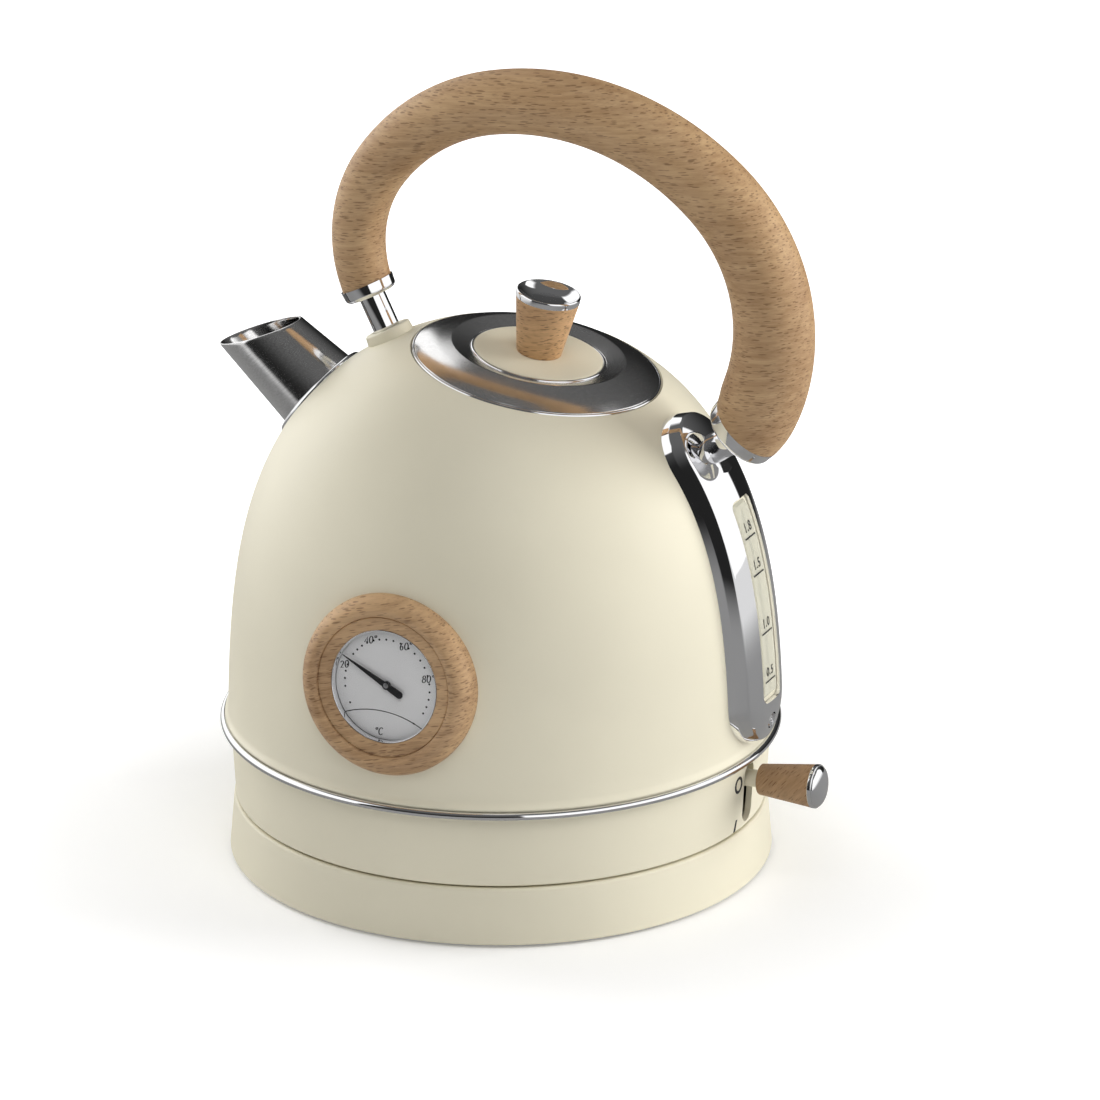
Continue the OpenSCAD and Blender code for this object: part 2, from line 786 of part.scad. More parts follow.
module front_boss() {
    color(cream)
        difference() {
            aim(front_foot, front_up)
                rotate_extrude($fn = fine)
                    polygon([[stud_r + seat, -5], [8.6, -5], [8.4, 0], [8.1, boss_top - 0.8],
                             [7.4, boss_top], [stud_r + seat, boss_top]]);
            dome_solid(body_z, seat);
        }
}

// A post runs from low to high along its aim, cut square to the ferrule above it
module post(r, low, high) {
    difference() {
        disc(r, low, high, 48);
        disc(stud_r + seat, low - 1, low + (high - low) * 0.7, coarse);
    }
}

module below_ferrule(point, angle) {
    aim(point, angle) translate([-end_cut / 2, -end_cut / 2, -end_cut]) cube(end_cut);
}

module front_post() {
    color(chrome)
        difference() {
            aim(front_foot, front_up) post(post_r, boss_top, front_len + 4);
            below_ferrule(front_low, front_angle);
        }
}

sleeve_share = 0.42;
recess_floor = 1.2;
module rear_sleeve() {
    color(chrome)
        difference() {
            aim(rear_foot, rear_up)
                difference() {
                    disc(post_r, rear_len * sleeve_share, rear_len + 10, 48);
                    disc(rear_post_r + seat, 0, rear_len - 2, 48);
                    disc(stud_r + seat, 0, rear_len + 11, coarse);
                }
            below_ferrule(rear_low, rear_angle);
        }
}

rear_post_r = 3.75;
module rear_post() {
    color(chrome)
        difference() {
            aim(rear_foot, rear_up)
                difference() {
                    disc(rear_post_r, -3, rear_len - 2 - seat, 48);
                    disc(stud_r + seat, -4, rear_len * 0.6, coarse);
                }
            dome_solid(body_z, seat);
        }
}

// Studs join the wood, the ferrule and the post; bolts join the posts to the body
module handle_studs() {
    color(chrome) {
        aim(front_end, front_angle) disc(stud_r, -stud_bore + 1, ferrule_front_h - 0.2, coarse);
        aim(rear_end, rear_angle) disc(stud_r, -stud_bore + 1, ferrule_rear_h - 0.2, coarse);
    }
}

// The bolt's head clears the inside of the dome where the post leans from the dome's normal
module handle_bolt(length, lean) {
    head = steel / cos(lean) + 2 * stud_r * tan(lean) + run;
    disc(stud_r, -head - 1, length, coarse);
    disc(2 * stud_r, -head - 3, -head, coarse);
}

module handle_bolts() {
    color(chrome) {
        aim(front_foot, front_up)
            handle_bolt(front_len * 0.6, abs(180 - front_up - dome_normal(front_foot[1])));
        aim(rear_foot, rear_up)
            handle_bolt(rear_len * 0.55, abs(rear_up - dome_normal(rear_foot[1])));
    }
}

// ---- Rear housing and water window ----
// The housing follows the dome's line at the back, between two round ends.
low_z = body_z + housing_foot + housing_w;
head_z = rear_foot[1] - 0.3;
screw_z = body_z + 12.6;
screw_foot = dome_point(screw_z, 0);
screw_angle = dome_normal(screw_z);
lens_w = 5.9;
lens_h = 7.2;
frame_h = 6.4;
side_h = 1.4;
shoulder_w = 11;
crown_rise = 1.5;
skirt_depth = 5;
crown_steps = 5;
crown_r = (pow(shoulder_w, 2) + pow(crown_rise, 2)) / (2 * crown_rise);
crown_sweep = asin(shoulder_w / crown_r);
crown_end = 0.04;
// Section as [half width, height], from the outer wall's foot to near the middle
half_section = concat(
    [[housing_w, -skirt_depth], [housing_w, side_h]],
    [for (i = [crown_steps:-1:0])
        let (a = crown_sweep * max(i / crown_steps, crown_end))
        [crown_r * sin(a), housing_h - crown_r * (1 - cos(a))]]
);
spine_steps = 20;
cap_steps = 8;
function spine_z(i) = low_z + (head_z - low_z) * i / spine_steps;
// Point of the housing's outline for one section point, along the spine
function capped(z, along, half, height) =
    let (n = dome_normal(z), c = dome_point(z, height))
    [c[0] - along * sin(n), half, c[1] + along * cos(n)];
function half_outline(w, h) = concat(
    [for (i = [1:cap_steps]) let (a = 90 * i / cap_steps) capped(low_z, -w * cos(a), w * sin(a), h)],
    [for (i = [1:spine_steps - 1]) capped(spine_z(i), 0, w, h)],
    [for (i = [cap_steps:-1:1]) let (a = 90 * i / cap_steps) capped(head_z, w * cos(a), w * sin(a), h)]
);
function mirrored(p) = [p[0], -p[1], p[2]];
function outline(w, h) = let (side = half_outline(w, h)) concat(
    [capped(low_z, -w, 0, h)], side, [capped(head_z, w, 0, h)], [for (p = reversed(side)) mirrored(p)]
);
outline_half = 2 * cap_steps + spine_steps;
outline_n = 2 * outline_half;
outline_last = len(half_section) - 1;
housing_points = [for (p = half_section) each outline(p[0], p[1])];
function cap_faces(at) = [
    for (i = [0:outline_half - 1])
        let (a = at + i, b = at + i + 1, c = at + outline_n - i - 1, d = at + (outline_n - i) % outline_n)
        i == 0 ? [a, b, c] : i == outline_half - 1 ? [a, b, d] : [a, b, c, d]
];
housing_faces = concat(
    cap_faces(0),
    [for (k = [0:outline_last - 1], i = [0:outline_n - 1])
        let (a = k * outline_n + i, b = k * outline_n + (i + 1) % outline_n)
        [b, a, a + outline_n, b + outline_n]],
    [for (f = cap_faces(outline_last * outline_n)) reversed(f)]
);

// The water window: a slot with rounded corners, aimed at the dome's axis
window_high = rear_foot[1] - body_z - window_gap;
slot_z = body_z + (window_low + window_high) / 2;
slot_at = dome_point(slot_z, 3);
slot_angle = dome_normal(slot_z);
slot_up = [-sin(slot_angle), cos(slot_angle)];
slot_a = (dome_point(body_z + window_low, 3) - slot_at) * slot_up;
slot_b = (dome_point(body_z + window_high, 3) - slot_at) * slot_up;
corner_steps = 5;
corner_less = 4.4;
function quarter(x, y, r, start) = [
    for (i = [0:corner_steps]) let (a = start - 90 * i / corner_steps) [x + r * cos(a), y + r * sin(a)]
];
function slot_outline(half) =
    let (
        r = half - corner_less,
        y = half - r,
        low = -slot_a + half - window_w - r,
        high = -slot_b - half + window_w + r
    )
    concat(
        quarter(low, y, r, 90), quarter(low, -y, r, 0),
        quarter(high, -y, r, -90), quarter(high, y, r, -180)
    );
module slot(half) {
    reach = 18;
    aim(slot_at, slot_angle)
        translate([0, 0, -reach])
            linear_extrude(2 * reach)
                polygon(slot_outline(half));
}

// A strip between two heights over the dome's line at the back
strip_steps = 18;
module strip(low, high) {
    spare = 6;
    z0 = body_z + window_low - spare;
    z1 = body_z + window_high + spare;
    line = [for (i = [0:strip_steps]) z0 + (z1 - z0) * i / strip_steps];
    translate([0, housing_w, 0])
        rotate([90, 0, 0])
            linear_extrude(2 * housing_w)
                polygon(concat(
                    [for (z = line) dome_point(z, high)],
                    reversed([for (z = line) dome_point(z, low)])
                ));
}

module rear_housing() {
    color(chrome)
        difference() {
            polyhedron(points = housing_points, faces = housing_faces, convexity = 6);
            dome_solid(body_z, seat);
            slot(window_w);
            aim(rear_foot, rear_up)
                rotate_extrude($fn = 64)
                    polygon([[0, recess_floor], [5.6, recess_floor], [9.5, housing_h],
                             [12, housing_h + 6], [0, housing_h + 6]]);
            aim(rear_foot, rear_up) disc(rear_post_r + seat, -10, 10, 48);
            aim(screw_foot, screw_angle) disc(1.5 + seat, -10, 20, coarse);
            aim(screw_foot, screw_angle) disc(2.8 + seat, housing_h - 3.4, 20, coarse);
        }
}

module window_frame() {
    color(cream)
        difference() {
            intersection() {
                slot(window_w - seat);
                strip(0.25, frame_h);
            }
            slot(lens_w + seat);
        }
}

module window_lens() {
    color(clear)
        intersection() {
            slot(lens_w);
            strip(-steel - 1.4, lens_h);
        }
}

module window_gasket() {
    color(dark)
        difference() {
            intersection() {
                slot(lens_w + 1.6);
                strip(-steel - 2.3, -steel - 0.8);
            }
            slot(lens_w + seat);
        }
}

module housing_screw() {
    color(chrome)
        aim(screw_foot, screw_angle) {
            disc(1.5, 0.3, housing_h - 3, coarse);
            rotate_extrude($fn = coarse)
                polygon([[0, housing_h - 3.4], [2.8, housing_h - 3.4], [2.8, housing_h - 2],
                         [2.2, housing_h - 1.3], [1.2, housing_h - 0.8], [0, housing_h - 0.7]]);
        }
}

// ---- Dial thermometer ----
cup_depth = 9;
probe_len = 34;
land_r = 24.3;
module dial_ring() {
    h = dial_ring_h;
    r = dial_ring_r;
    color(beech)
        difference() {
            on_dial()
                rotate_extrude($fn = fine)
                    polygon([
                        [cup_r + 0.2, -12], [r, -12], [r, -2.2], [r - 0.3, -0.6], [r - 0.9, h * 0.22],
                        [r - 1.8, h * 0.58], [r - 3, h * 0.88], [r - 4.4, h], [land_r + 1, h - 0.2],
                        [land_r + 0.3, h - 0.7], [land_r, h - 1.5], [cup_r + 1.2, h - 1.9],
                        [cup_r + 0.6, h - 2.2], [cup_r + 0.2, h - 2.8]
                    ]);
            dome_solid(body_z, seat);
        }
}

module dial_bezel() {
    color(chrome)
        on_dial()
            rotate_extrude($fn = fine)
                polygon([
                    [cup_r - 0.9, seat], [cup_r + 0.1, seat], [cup_r + 0.1, 2.3], [cup_r - 0.2, 2.6],
                    [dial_glass_r + seat, 1.7], [dial_glass_r + seat, 0.9], [cup_r - 0.9, 0.9]
                ]);
}

module dial_glass() {
    color(clear) on_dial() disc(dial_glass_r, 0.9, 1.6);
}

module dial_cup() {
    color(brushed)
        on_dial()
            rotate_extrude($fn = fine)
                polygon([
                    [3 + seat, -cup_depth], [cup_r, -cup_depth], [cup_r, 0], [cup_r - 0.9, 0],
                    [cup_r - 0.9, -cup_depth + 1], [3 + seat, -cup_depth + 1]
                ]);
}

module dial_face() {
    spacer = 4;
    color([0.92, 0.92, 0.92])
        on_dial()
            difference() {
                union() {
                    disc(cup_r - 0.9 - seat, -1.5, -1);
                    tube(spacer + 1, spacer, -cup_depth + 1, -1.5, coarse);
                }
                disc(0.8, -2, 1, coarse);
            }
}

module dial_nut() {
    color(brushed)
        intersection() {
            on_dial() tube(cup_r + 5, cup_r + seat, -7.5, 0);
            dome_solid(body_z, -steel - seat);
        }
}

module dial_probe() {
    color(brushed)
        on_dial()
            difference() {
                disc(3, -probe_len, -cup_depth + 2, coarse);
                disc(0.8, -20, 0, coarse);
            }
}

module dial_needle() {
    tip = dial_glass_r * 0.96;
    tail = 6.9;
    color(dark)
        on_dial()
            rotate([0, 0, needle_rest]) {
                disc(0.7, -cup_depth - 4, 0.35, coarse);
                disc(1.7, -0.5, 0.35, coarse);
                translate([0, 0, -0.5])
                    linear_extrude(0.5)
                        polygon([
                            [tip, 0.15], [tip, -0.15], [0, -0.9], [-tail + 0.9, -1.1],
                            [-tail + 0.3, -0.8], [-tail, 0], [-tail + 0.3, 0.8],
                            [-tail + 0.9, 1.1], [0, 0.9]
                        ]);
            }
}

// ---- Lid, in the lid's own frame: z = 0 is the rim's plane ----
sheet = 1;
plug_wall = 1.5;
plug_out = neck_r - 2;
plug_floor = seat_z - seat_depth - 2;
knob_z = disc_z() + 1.5;
function disc_z() = ridge_h - 2.2;
disc_h = 1.5;

module lid_shell() {
    bulge = 0.9;
    rim = lid_r - lid_rim_gap;
    mid_r = (rim + ridge_r) / 2 + 0.6;
    mid_h = ridge_h / 2 + bulge + 0.6;
    hole = disc_r + 1.2;
    color(brushed)
        on_lid()
            rotate_extrude($fn = fine)
                polygon([
                    [rim - 0.8, -0.9], [rim, -0.5], [rim, 0.4], [rim - 0.5, 0.9], [rim - 1, 0.9],
                    [(rim + mid_r) / 2, mid_h * 0.62], [mid_r, mid_h],
                    [(mid_r + ridge_r) / 2, mid_h + 1.55], [ridge_r + 0.4, ridge_h],
                    [ridge_r - 0.3, ridge_h], [hole, ridge_h - 1.6],
                    [hole, ridge_h - 1.6 - sheet], [ridge_r - 0.3, ridge_h - sheet],
                    [mid_r - 0.6, mid_h - sheet], [rim - 2.9, 0.6], [rim - 3.7, -0.9]
                ]);
}

module lid_trim() {
    color(chrome)
        on_lid()
            rotate_extrude($fn = fine)
                polygon([
                    [disc_r + seat, disc_z()], [disc_r + 1.2 - seat, disc_z()],
                    [disc_r + 1.2 - seat, ridge_h - 1.2], [disc_r + 0.9, ridge_h - 0.8],
                    [disc_r + 0.4, ridge_h - 0.8], [disc_r + seat, ridge_h - 1.1]
                ]);
}

module lid_disc() {
    color(cream)
        on_lid()
            difference() {
                rotate_extrude($fn = fine)
                    polygon([
                        [0, disc_z()], [disc_r, disc_z()], [disc_r, disc_z() + 0.9],
                        [disc_r - 0.5, disc_z() + 1.2], [disc_r * 0.6, disc_z() + disc_h - 0.05],
                        [disc_r * 0.4, disc_z() + disc_h], [0, disc_z() + disc_h]
                    ]);
                disc(2 + seat, 0, 20, coarse);
            }
}

module lid_plug() {
    color(dark)
        on_lid()
            difference() {
                rotate_extrude($fn = fine)
                    polygon([
                        [0, plug_floor], [plug_out, plug_floor], [plug_out, seat_z - 11],
                        [plug_out - 1.2, seat_z - 11], [plug_out - 1.2, seat_z - 7.8],
                        [plug_out, seat_z - 7.8], [plug_out, seat_z - 0.3],
                        [lid_r - 4.2, seat_z + 0.3], [lid_r - 4.2, 0.4], [lid_r - 6, 1],
                        [plug_out - plug_wall, seat_z],
                        [plug_out - plug_wall - 1.2, plug_floor + plug_wall],
                        [7, plug_floor + plug_wall], [7, disc_z()], [0, disc_z()]
                    ]);
                disc(2 + seat, plug_floor - 1, 20, coarse);
                disc(4 + seat, plug_floor - 1, plug_floor + 3, coarse);
            }
}

module lid_gasket() {
    lip = neck_r - run;
    color([0.75, 0.75, 0.74])
        on_lid()
            rotate_extrude($fn = fine)
                polygon([
                    [plug_out - 1.2 + seat, seat_z - 10.9], [plug_out, seat_z - 10.9],
                    [lip, seat_z - 8.6], [lip, seat_z - 8.1], [plug_out - 1.2 + seat, seat_z - 7.9]
                ]);
}

module lid_screw() {
    color(chrome)
        on_lid() {
            disc(2, plug_floor + 3, disc_z() + disc_h + 10, coarse);
            disc(4, plug_floor + 1, plug_floor + 3, coarse);
        }
}

module lid_knob() {
    top = knob_z + knob_h;
    color(beech)
        on_lid()
            difference() {
                translate([0, 0, knob_z])
                    cylinder(r1 = knob_foot_r, r2 = knob_top_r, h = knob_h, $fn = fine);
                disc(2 + seat, knob_z - 1, knob_z + 10.2, coarse);
                disc(4, top - 4, top + 1, coarse);
            }
}

module knob_cap() {
    top = knob_z + knob_h;
    r = knob_top_r + 0.15;
    color(chrome)
        on_lid()
            rotate_extrude($fn = fine)
                polygon([[0, top - 3.5], [4 - seat, top - 3.5], [4 - seat, top], [r, top],
                         [r, top + 1.5], [r - 0.4, top + 1.9], [r * 0.75, top + 2.9],
                         [r * 0.5, top + 3.6], [r * 0.25, top + 4], [0, top + 4.1]]);
}

// ---- On/off lever ----
pivot_x = skirt_r - pivot_inset;
pin_r = 1.5;
pin_fit = 0.05;
hub_half = 3.6;
ear_gap = 0.4;
ear_h = 3;
neck_w = 3;
module on_lever() { aim([pivot_x, pivot_z], lever_rise) children(); }
module across(length) {
    translate([pivot_x, 0, pivot_z])
        rotate([90, 0, 0])
            translate([0, 0, -length / 2])
                children();
}

module lever_bracket() {
    ear_y = hub_half + ear_gap;
    color(brushed)
        difference() {
            union() {
                translate([pivot_x - 8, -ear_y - 2, cover_z + cover_h]) cube([16, 2 * ear_y + 4, 1.5]);
                for (side = [-1, 1])
                    translate([pivot_x - 5, side * (ear_y + 1) - 1, cover_z + cover_h])
                        cube([10, 2, pivot_z + ear_h + 1 - cover_z - cover_h]);
            }
            across(40) cylinder(r = pin_r + pin_fit, h = 40, $fn = 48);
        }
}

module lever_pin() {
    length = 2 * (hub_half + ear_gap + 2) + 2;
    color(chrome) across(length) cylinder(r = pin_r, h = length, $fn = 48);
}

module lever_arm() {
    color(dark)
        difference() {
            union() {
                across(2 * hub_half) cylinder(r = 4.5, h = 2 * hub_half, $fn = 48);
                on_lever() {
                    disc(neck_w, 2, lever_neck - 0.1, coarse);
                    disc(2.2, lever_neck - 0.2, lever_neck + grip_len - 4, coarse);
                }
                on_lever() translate([-2, -2, -14]) cube([4, 4, 14]);
            }
            across(40) cylinder(r = pin_r + pin_fit, h = 40, $fn = 48);
        }
}

module lever_grip() {
    color(beech)
        on_lever()
            difference() {
                translate([0, 0, lever_neck])
                    cylinder(r1 = grip_r0, r2 = grip_r1, h = grip_len, $fn = fine);
                disc(2.2 + seat, lever_neck - 1, lever_neck + grip_len - 3, coarse);
                disc(3 + seat, lever_neck + grip_len - 2.5, lever_neck + grip_len + 1, coarse);
            }
}

module lever_cap() {
    end = lever_neck + grip_len;
    r = grip_r1 + 0.1;
    color(chrome)
        on_lever()
            rotate_extrude($fn = fine)
                polygon([[0, end - 2], [3, end - 2], [3, end], [r, end], [r, end + 1.2],
                         [r * 0.93, end + 2.2], [r * 0.78, end + 3.2], [r * 0.55, end + 4],
                         [r * 0.28, end + 4.5], [0, end + 4.6]]);
}

power_base_shell();
power_base_plate();
base_feet();
base_screws();
base_plug();
base_contacts();
cord_gland();
socket_housing();
socket_contacts();
skirt();
bottom_cover();
cover_screws();
trim_ring();
body_shell();
floor_plate();
heat_spreader();
heating_element();
thermostat();
steam_switch();
steam_tube();
spout();
spout_flange();
spout_filter();
lid_seat();
front_boss();
front_post();
front_ferrule();
handle_grip();
rear_ferrule();
rear_sleeve();
rear_post();
handle_studs();
handle_bolts();
rear_housing();
window_frame();
window_lens();
window_gasket();
housing_screw();
dial_ring();
dial_bezel();
dial_glass();
dial_face();
dial_cup();
dial_nut();
dial_probe();
dial_needle();
lid_shell();
lid_trim();
lid_disc();
lid_plug();
lid_gasket();
lid_screw();
lid_knob();
knob_cap();
lever_bracket();
lever_pin();
lever_arm();
lever_grip();
lever_cap();
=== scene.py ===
"""Dresses the domed electric kettle: smooth surfaces, finishes, dial, studio and camera.

Sizes are in millimetres here and become metres when a mesh is made. +Z is up, the dome's axis
is Z, the spout points to -X, the lever to +X and the dial to -Y.
"""

import logging
import math
from dataclasses import dataclass
from enum import Enum
from functools import cached_property
from typing import Optional, Sequence, Union

import bpy
import numpy as np
from mathutils import Matrix


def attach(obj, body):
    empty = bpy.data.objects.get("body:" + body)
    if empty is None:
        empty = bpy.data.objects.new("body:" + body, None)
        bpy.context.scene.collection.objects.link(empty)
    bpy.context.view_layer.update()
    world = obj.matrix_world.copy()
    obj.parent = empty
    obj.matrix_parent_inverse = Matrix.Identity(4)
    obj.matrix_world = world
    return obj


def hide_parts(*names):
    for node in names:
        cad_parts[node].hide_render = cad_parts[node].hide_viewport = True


Array = np.ndarray
Number = Union[int, float]
Colour = tuple[float, float, float]
MM = 0.001
SHARP = 38.0
LOG = logging.getLogger("kettle")

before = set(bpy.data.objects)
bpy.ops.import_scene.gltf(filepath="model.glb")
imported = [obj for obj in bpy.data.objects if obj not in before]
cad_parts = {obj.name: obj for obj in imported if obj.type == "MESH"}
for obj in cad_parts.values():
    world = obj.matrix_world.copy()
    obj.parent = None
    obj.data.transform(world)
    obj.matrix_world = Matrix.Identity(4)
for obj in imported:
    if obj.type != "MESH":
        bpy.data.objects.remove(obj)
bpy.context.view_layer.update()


class Body(Enum):
    """The moving bodies of the kettle that a piece can ride on."""

    POWER_BASE = "power_base"
    KETTLE = "kettle"
    NEEDLE = "needle"
    LID = "lid"
    LEVER = "lever"


# ---------------------------------------------------------------- numbers and curves


def unit(vectors: Array) -> Array:
    """Divides each vector by its length."""
    return vectors / np.maximum(np.linalg.norm(vectors, axis=-1, keepdims=True), 1e-12)


def smooth(low: float, high: float, x: Array) -> Array:
    """Rises from 0 at low to 1 at high as 3t^2 - 2t^3, and stays flat outside."""
    t = np.clip((np.asarray(x, float) - low) / (high - low), 0, 1)
    return t * t * (3 - 2 * t)


def turns(count: int) -> Array:
    """Evenly spaced angles of one full turn, in radians."""
    return np.linspace(0, 2 * np.pi, count, endpoint=False)


def way(angle: Union[Array, float]) -> Array:
    """Unit vectors [cos, sin] of angles in radians."""
    return np.stack([np.cos(angle), np.sin(angle)], -1)


def raised(flat: Array, height: float) -> Array:
    """Lifts [x, y] points to a height."""
    return np.concatenate([flat, np.full((len(flat), 1), height)], 1)


def spun(section: Array, angles: Array) -> Array:
    """Rings of a section turned about Z: [r cos a, r sin a, h]."""
    r, h = section[:, :1], section[:, 1:]
    return np.stack([r * np.cos(angles), r * np.sin(angles), np.repeat(h, len(angles), 1)], -1)


def pin(radius: float, low: float, high: float) -> Array:
    """Section of a plain round pin between two heights."""
    return np.array([[0, low], [radius, low], [radius, high], [0, high]], float)


def filleted(corners: Sequence[Sequence[Number]], steps: int = 5, closed: bool = False) -> Array:
    """Rounds the corners of a section.

    Each corner P with neighbours A and B becomes the curve (1-t)^2 a + 2t(1-t) P + t^2 b, where a and b lie
    at the corner's radius from P towards A and B, and at most 0.48 of the way to them.

    Args:
        corners: rows of [radius, height, rounding].
        steps: points on each rounded corner.
        closed: whether the section is a closed loop; an open one keeps its two end points.

    Returns:
        The section's points, one row of [radius, height] each.
    """
    rows = np.array([list(c) + [0.0] * (3 - len(c)) for c in corners], float)
    p, r = rows[:, :2], rows[:, 2].copy()
    if not closed:
        r[[0, -1]] = 0
    before, after = np.roll(p, 1, 0) - p, np.roll(p, -1, 0) - p
    back = np.minimum(r, 0.48 * np.linalg.norm(before, axis=1))[:, None] * unit(before)
    ahead = np.minimum(r, 0.48 * np.linalg.norm(after, axis=1))[:, None] * unit(after)
    t = np.linspace(0, 1, steps)[None, :, None]
    q = p[:, None]
    curve = (1 - t) ** 2 * (q + back[:, None]) + 2 * t * (1 - t) * q + t**2 * (q + ahead[:, None])
    kept = np.ones((len(p), steps), bool)
    kept[r < 1e-9, 1:] = False
    return curve[kept]


@dataclass(frozen=True)
class Frame:
    """A local frame: an origin and three unit axes, in millimetres."""

    origin: Array
    x: Array
    y: Array
    z: Array

    def place(self, local: Array) -> Array:
        """Turns local points into points of the kettle: origin + x X + y Y + z Z."""
        p = np.asarray(local, float)
        return self.origin + p[..., :1] * self.x + p[..., 1:2] * self.y + p[..., 2:3] * self.z

    @staticmethod
    def aimed(point: Sequence[float], degrees: float) -> "Frame":
        """Frame at a point [x, z] of the X-Z plane, with its Z turned to an angle above +X."""
        c, s = way(math.radians(degrees))
        return Frame(
            np.array([point[0], 0.0, point[1]]), np.array([s, 0.0, -c]), np.array([0.0, 1, 0]), np.array([c, 0.0, s])
        )


UPRIGHT = Frame(np.zeros(3), *np.eye(3))


# ---------------------------------------------------------------- meshes


def lattice(rows: int, columns: int, wrap_rows: bool, wrap_columns: bool) -> Array:
    """Four-sided faces of a grid of points, numbered row by row."""
    i = np.arange(rows if wrap_rows else rows - 1)[:, None]
    j = np.arange(columns if wrap_columns else columns - 1)[None]
    here, down, right = i * columns, (i + 1) % rows * columns, (j + 1) % columns
    return np.stack([here + j, here + right, down + right, down + j], -1).reshape(-1, 4)


def signed_volume(points: Array, faces: Array) -> float:
    """Six times the volume inside the faces, below zero where they point inwards."""
    p = points[faces]
    return sum(
        float(np.einsum("ij,ij->", p[:, 0], np.cross(p[:, k], p[:, k + 1]))) for k in range(1, faces.shape[1] - 1)
    )


def make_mesh(name: str, points: Array, faces: list[Array], sharp: float = SHARP) -> bpy.types.Object:
    """Makes a smooth mesh object from points in millimetres.

    Args:
        name: the piece's name.
        points: one row per vertex.
        faces: arrays of triangles and of four-sided faces.
        sharp: an edge that turns by more than this angle, in degrees, stays sharp.

    Returns:
        The new object, at the origin.
    """
    mesh = bpy.data.meshes.new(name)
    mesh.from_pydata((points * MM).tolist(), [], [face for block in faces for face in block.tolist()])
    mesh.validate()
    soften(mesh, sharp)
    mesh.update()
    return linked(bpy.data.objects.new(name, mesh))


def soften(mesh: bpy.types.Mesh, sharp: float) -> None:
    """Shades a mesh smooth, apart from edges that turn by more than an angle in degrees."""
    mesh.polygons.foreach_set("use_smooth", np.ones(len(mesh.polygons), bool))
    mesh.set_sharp_from_angle(angle=math.radians(sharp))


def linked(made: bpy.types.Object) -> bpy.types.Object:
    """Puts an object into the scene."""
    bpy.context.scene.collection.objects.link(made)
    return made


def shell(
    name: str, rows: Array, close: bool = False, start: Optional[Array] = None, end: Optional[Array] = None,
    sharp: float = SHARP,
) -> bpy.types.Object:
    """Makes a closed surface from rings of points.

    Args:
        name: the piece's name.
        rows: rings, columns, and x, y, z; each ring is closed.
        close: whether the last ring joins the first, as in a tube with a wall.
        start: the pole that closes the first ring, where it isn't joined.
        end: the pole that closes the last ring.
        sharp: the angle past which an edge stays sharp.

    Returns:
        The new object, with its faces pointing outwards.
    """
    n, m = rows.shape[:2]
    points = rows.reshape(-1, 3)
    faces = [lattice(n, m, close, True)]
    if not close:
        poles = [rows[0].mean(0) if start is None else start, rows[-1].mean(0) if end is None else end]
        points = np.concatenate([points, poles])
        j, after = np.arange(m), (np.arange(m) + 1) % m
        faces.append(np.stack([after, j, np.full(m, n * m)], -1))
        faces.append(np.stack([(n - 1) * m + j, (n - 1) * m + after, np.full(m, n * m + 1)], -1))
    if sum(signed_volume(points, block) for block in faces) < 0:
        faces = [block[:, ::-1] for block in faces]
    return make_mesh(name, points, faces, sharp)


def revolve(
    name: str, section: Array, place: Frame = UPRIGHT, columns: int = 160, close: bool = False, sharp: float = SHARP
) -> bpy.types.Object:
    """Turns a section of [r, h] rows about a frame's Z.

    Args:
        name: the piece's name.
        section: a loop that doesn't touch the axis, or an open line with both ends on it.
        place: the frame that it stands in.
        columns: steps round the axis.
        close: whether the section is a loop.
        sharp: the angle past which an edge stays sharp.
    """
    if close:
        return shell(name, place.place(spun(section, turns(columns))), True, sharp=sharp)
    poles = [place.place(np.array([0.0, 0.0, section[k, 1]])) for k in (0, -1)]
    return shell(name, place.place(spun(section[1:-1], turns(columns))), False, *poles, sharp)


def prism(name: str, outline: Array, low: float, high: float, place: Frame) -> bpy.types.Object:
    """A straight prism over a convex outline of [x, y] points, closed at both ends."""
    return shell(name, place.place(np.stack([raised(outline, low), raised(outline, high)])), sharp=30)


def carve(target: bpy.types.Object, cutters: Sequence[bpy.types.Object], sharp: float = 34.0) -> None:
    """Cuts shapes out of a piece with exact booleans, and removes the shapes."""
    for cutter in cutters:
        cut = target.modifiers.new("cut", "BOOLEAN")
        cut.operation, cut.solver, cut.object = "DIFFERENCE", "EXACT", cutter
    bpy.context.view_layer.update()
    done = bpy.data.meshes.new_from_object(target.evaluated_get(bpy.context.evaluated_depsgraph_get()))
    done.name = target.name
    target.modifiers.clear()
    target.data = done
    for cutter in cutters:
        bpy.data.objects.remove(cutter)
    soften(done, sharp)


def joined(name: str, pieces: Sequence[bpy.types.Object]) -> bpy.types.Object:
    """Joins several objects into one and names it."""
    with bpy.context.temp_override(active_object=pieces[0], selected_editable_objects=list(pieces)):
        bpy.ops.object.join()
    pieces[0].name = name
    return pieces[0]


# ---------------------------------------------------------------- shader maths


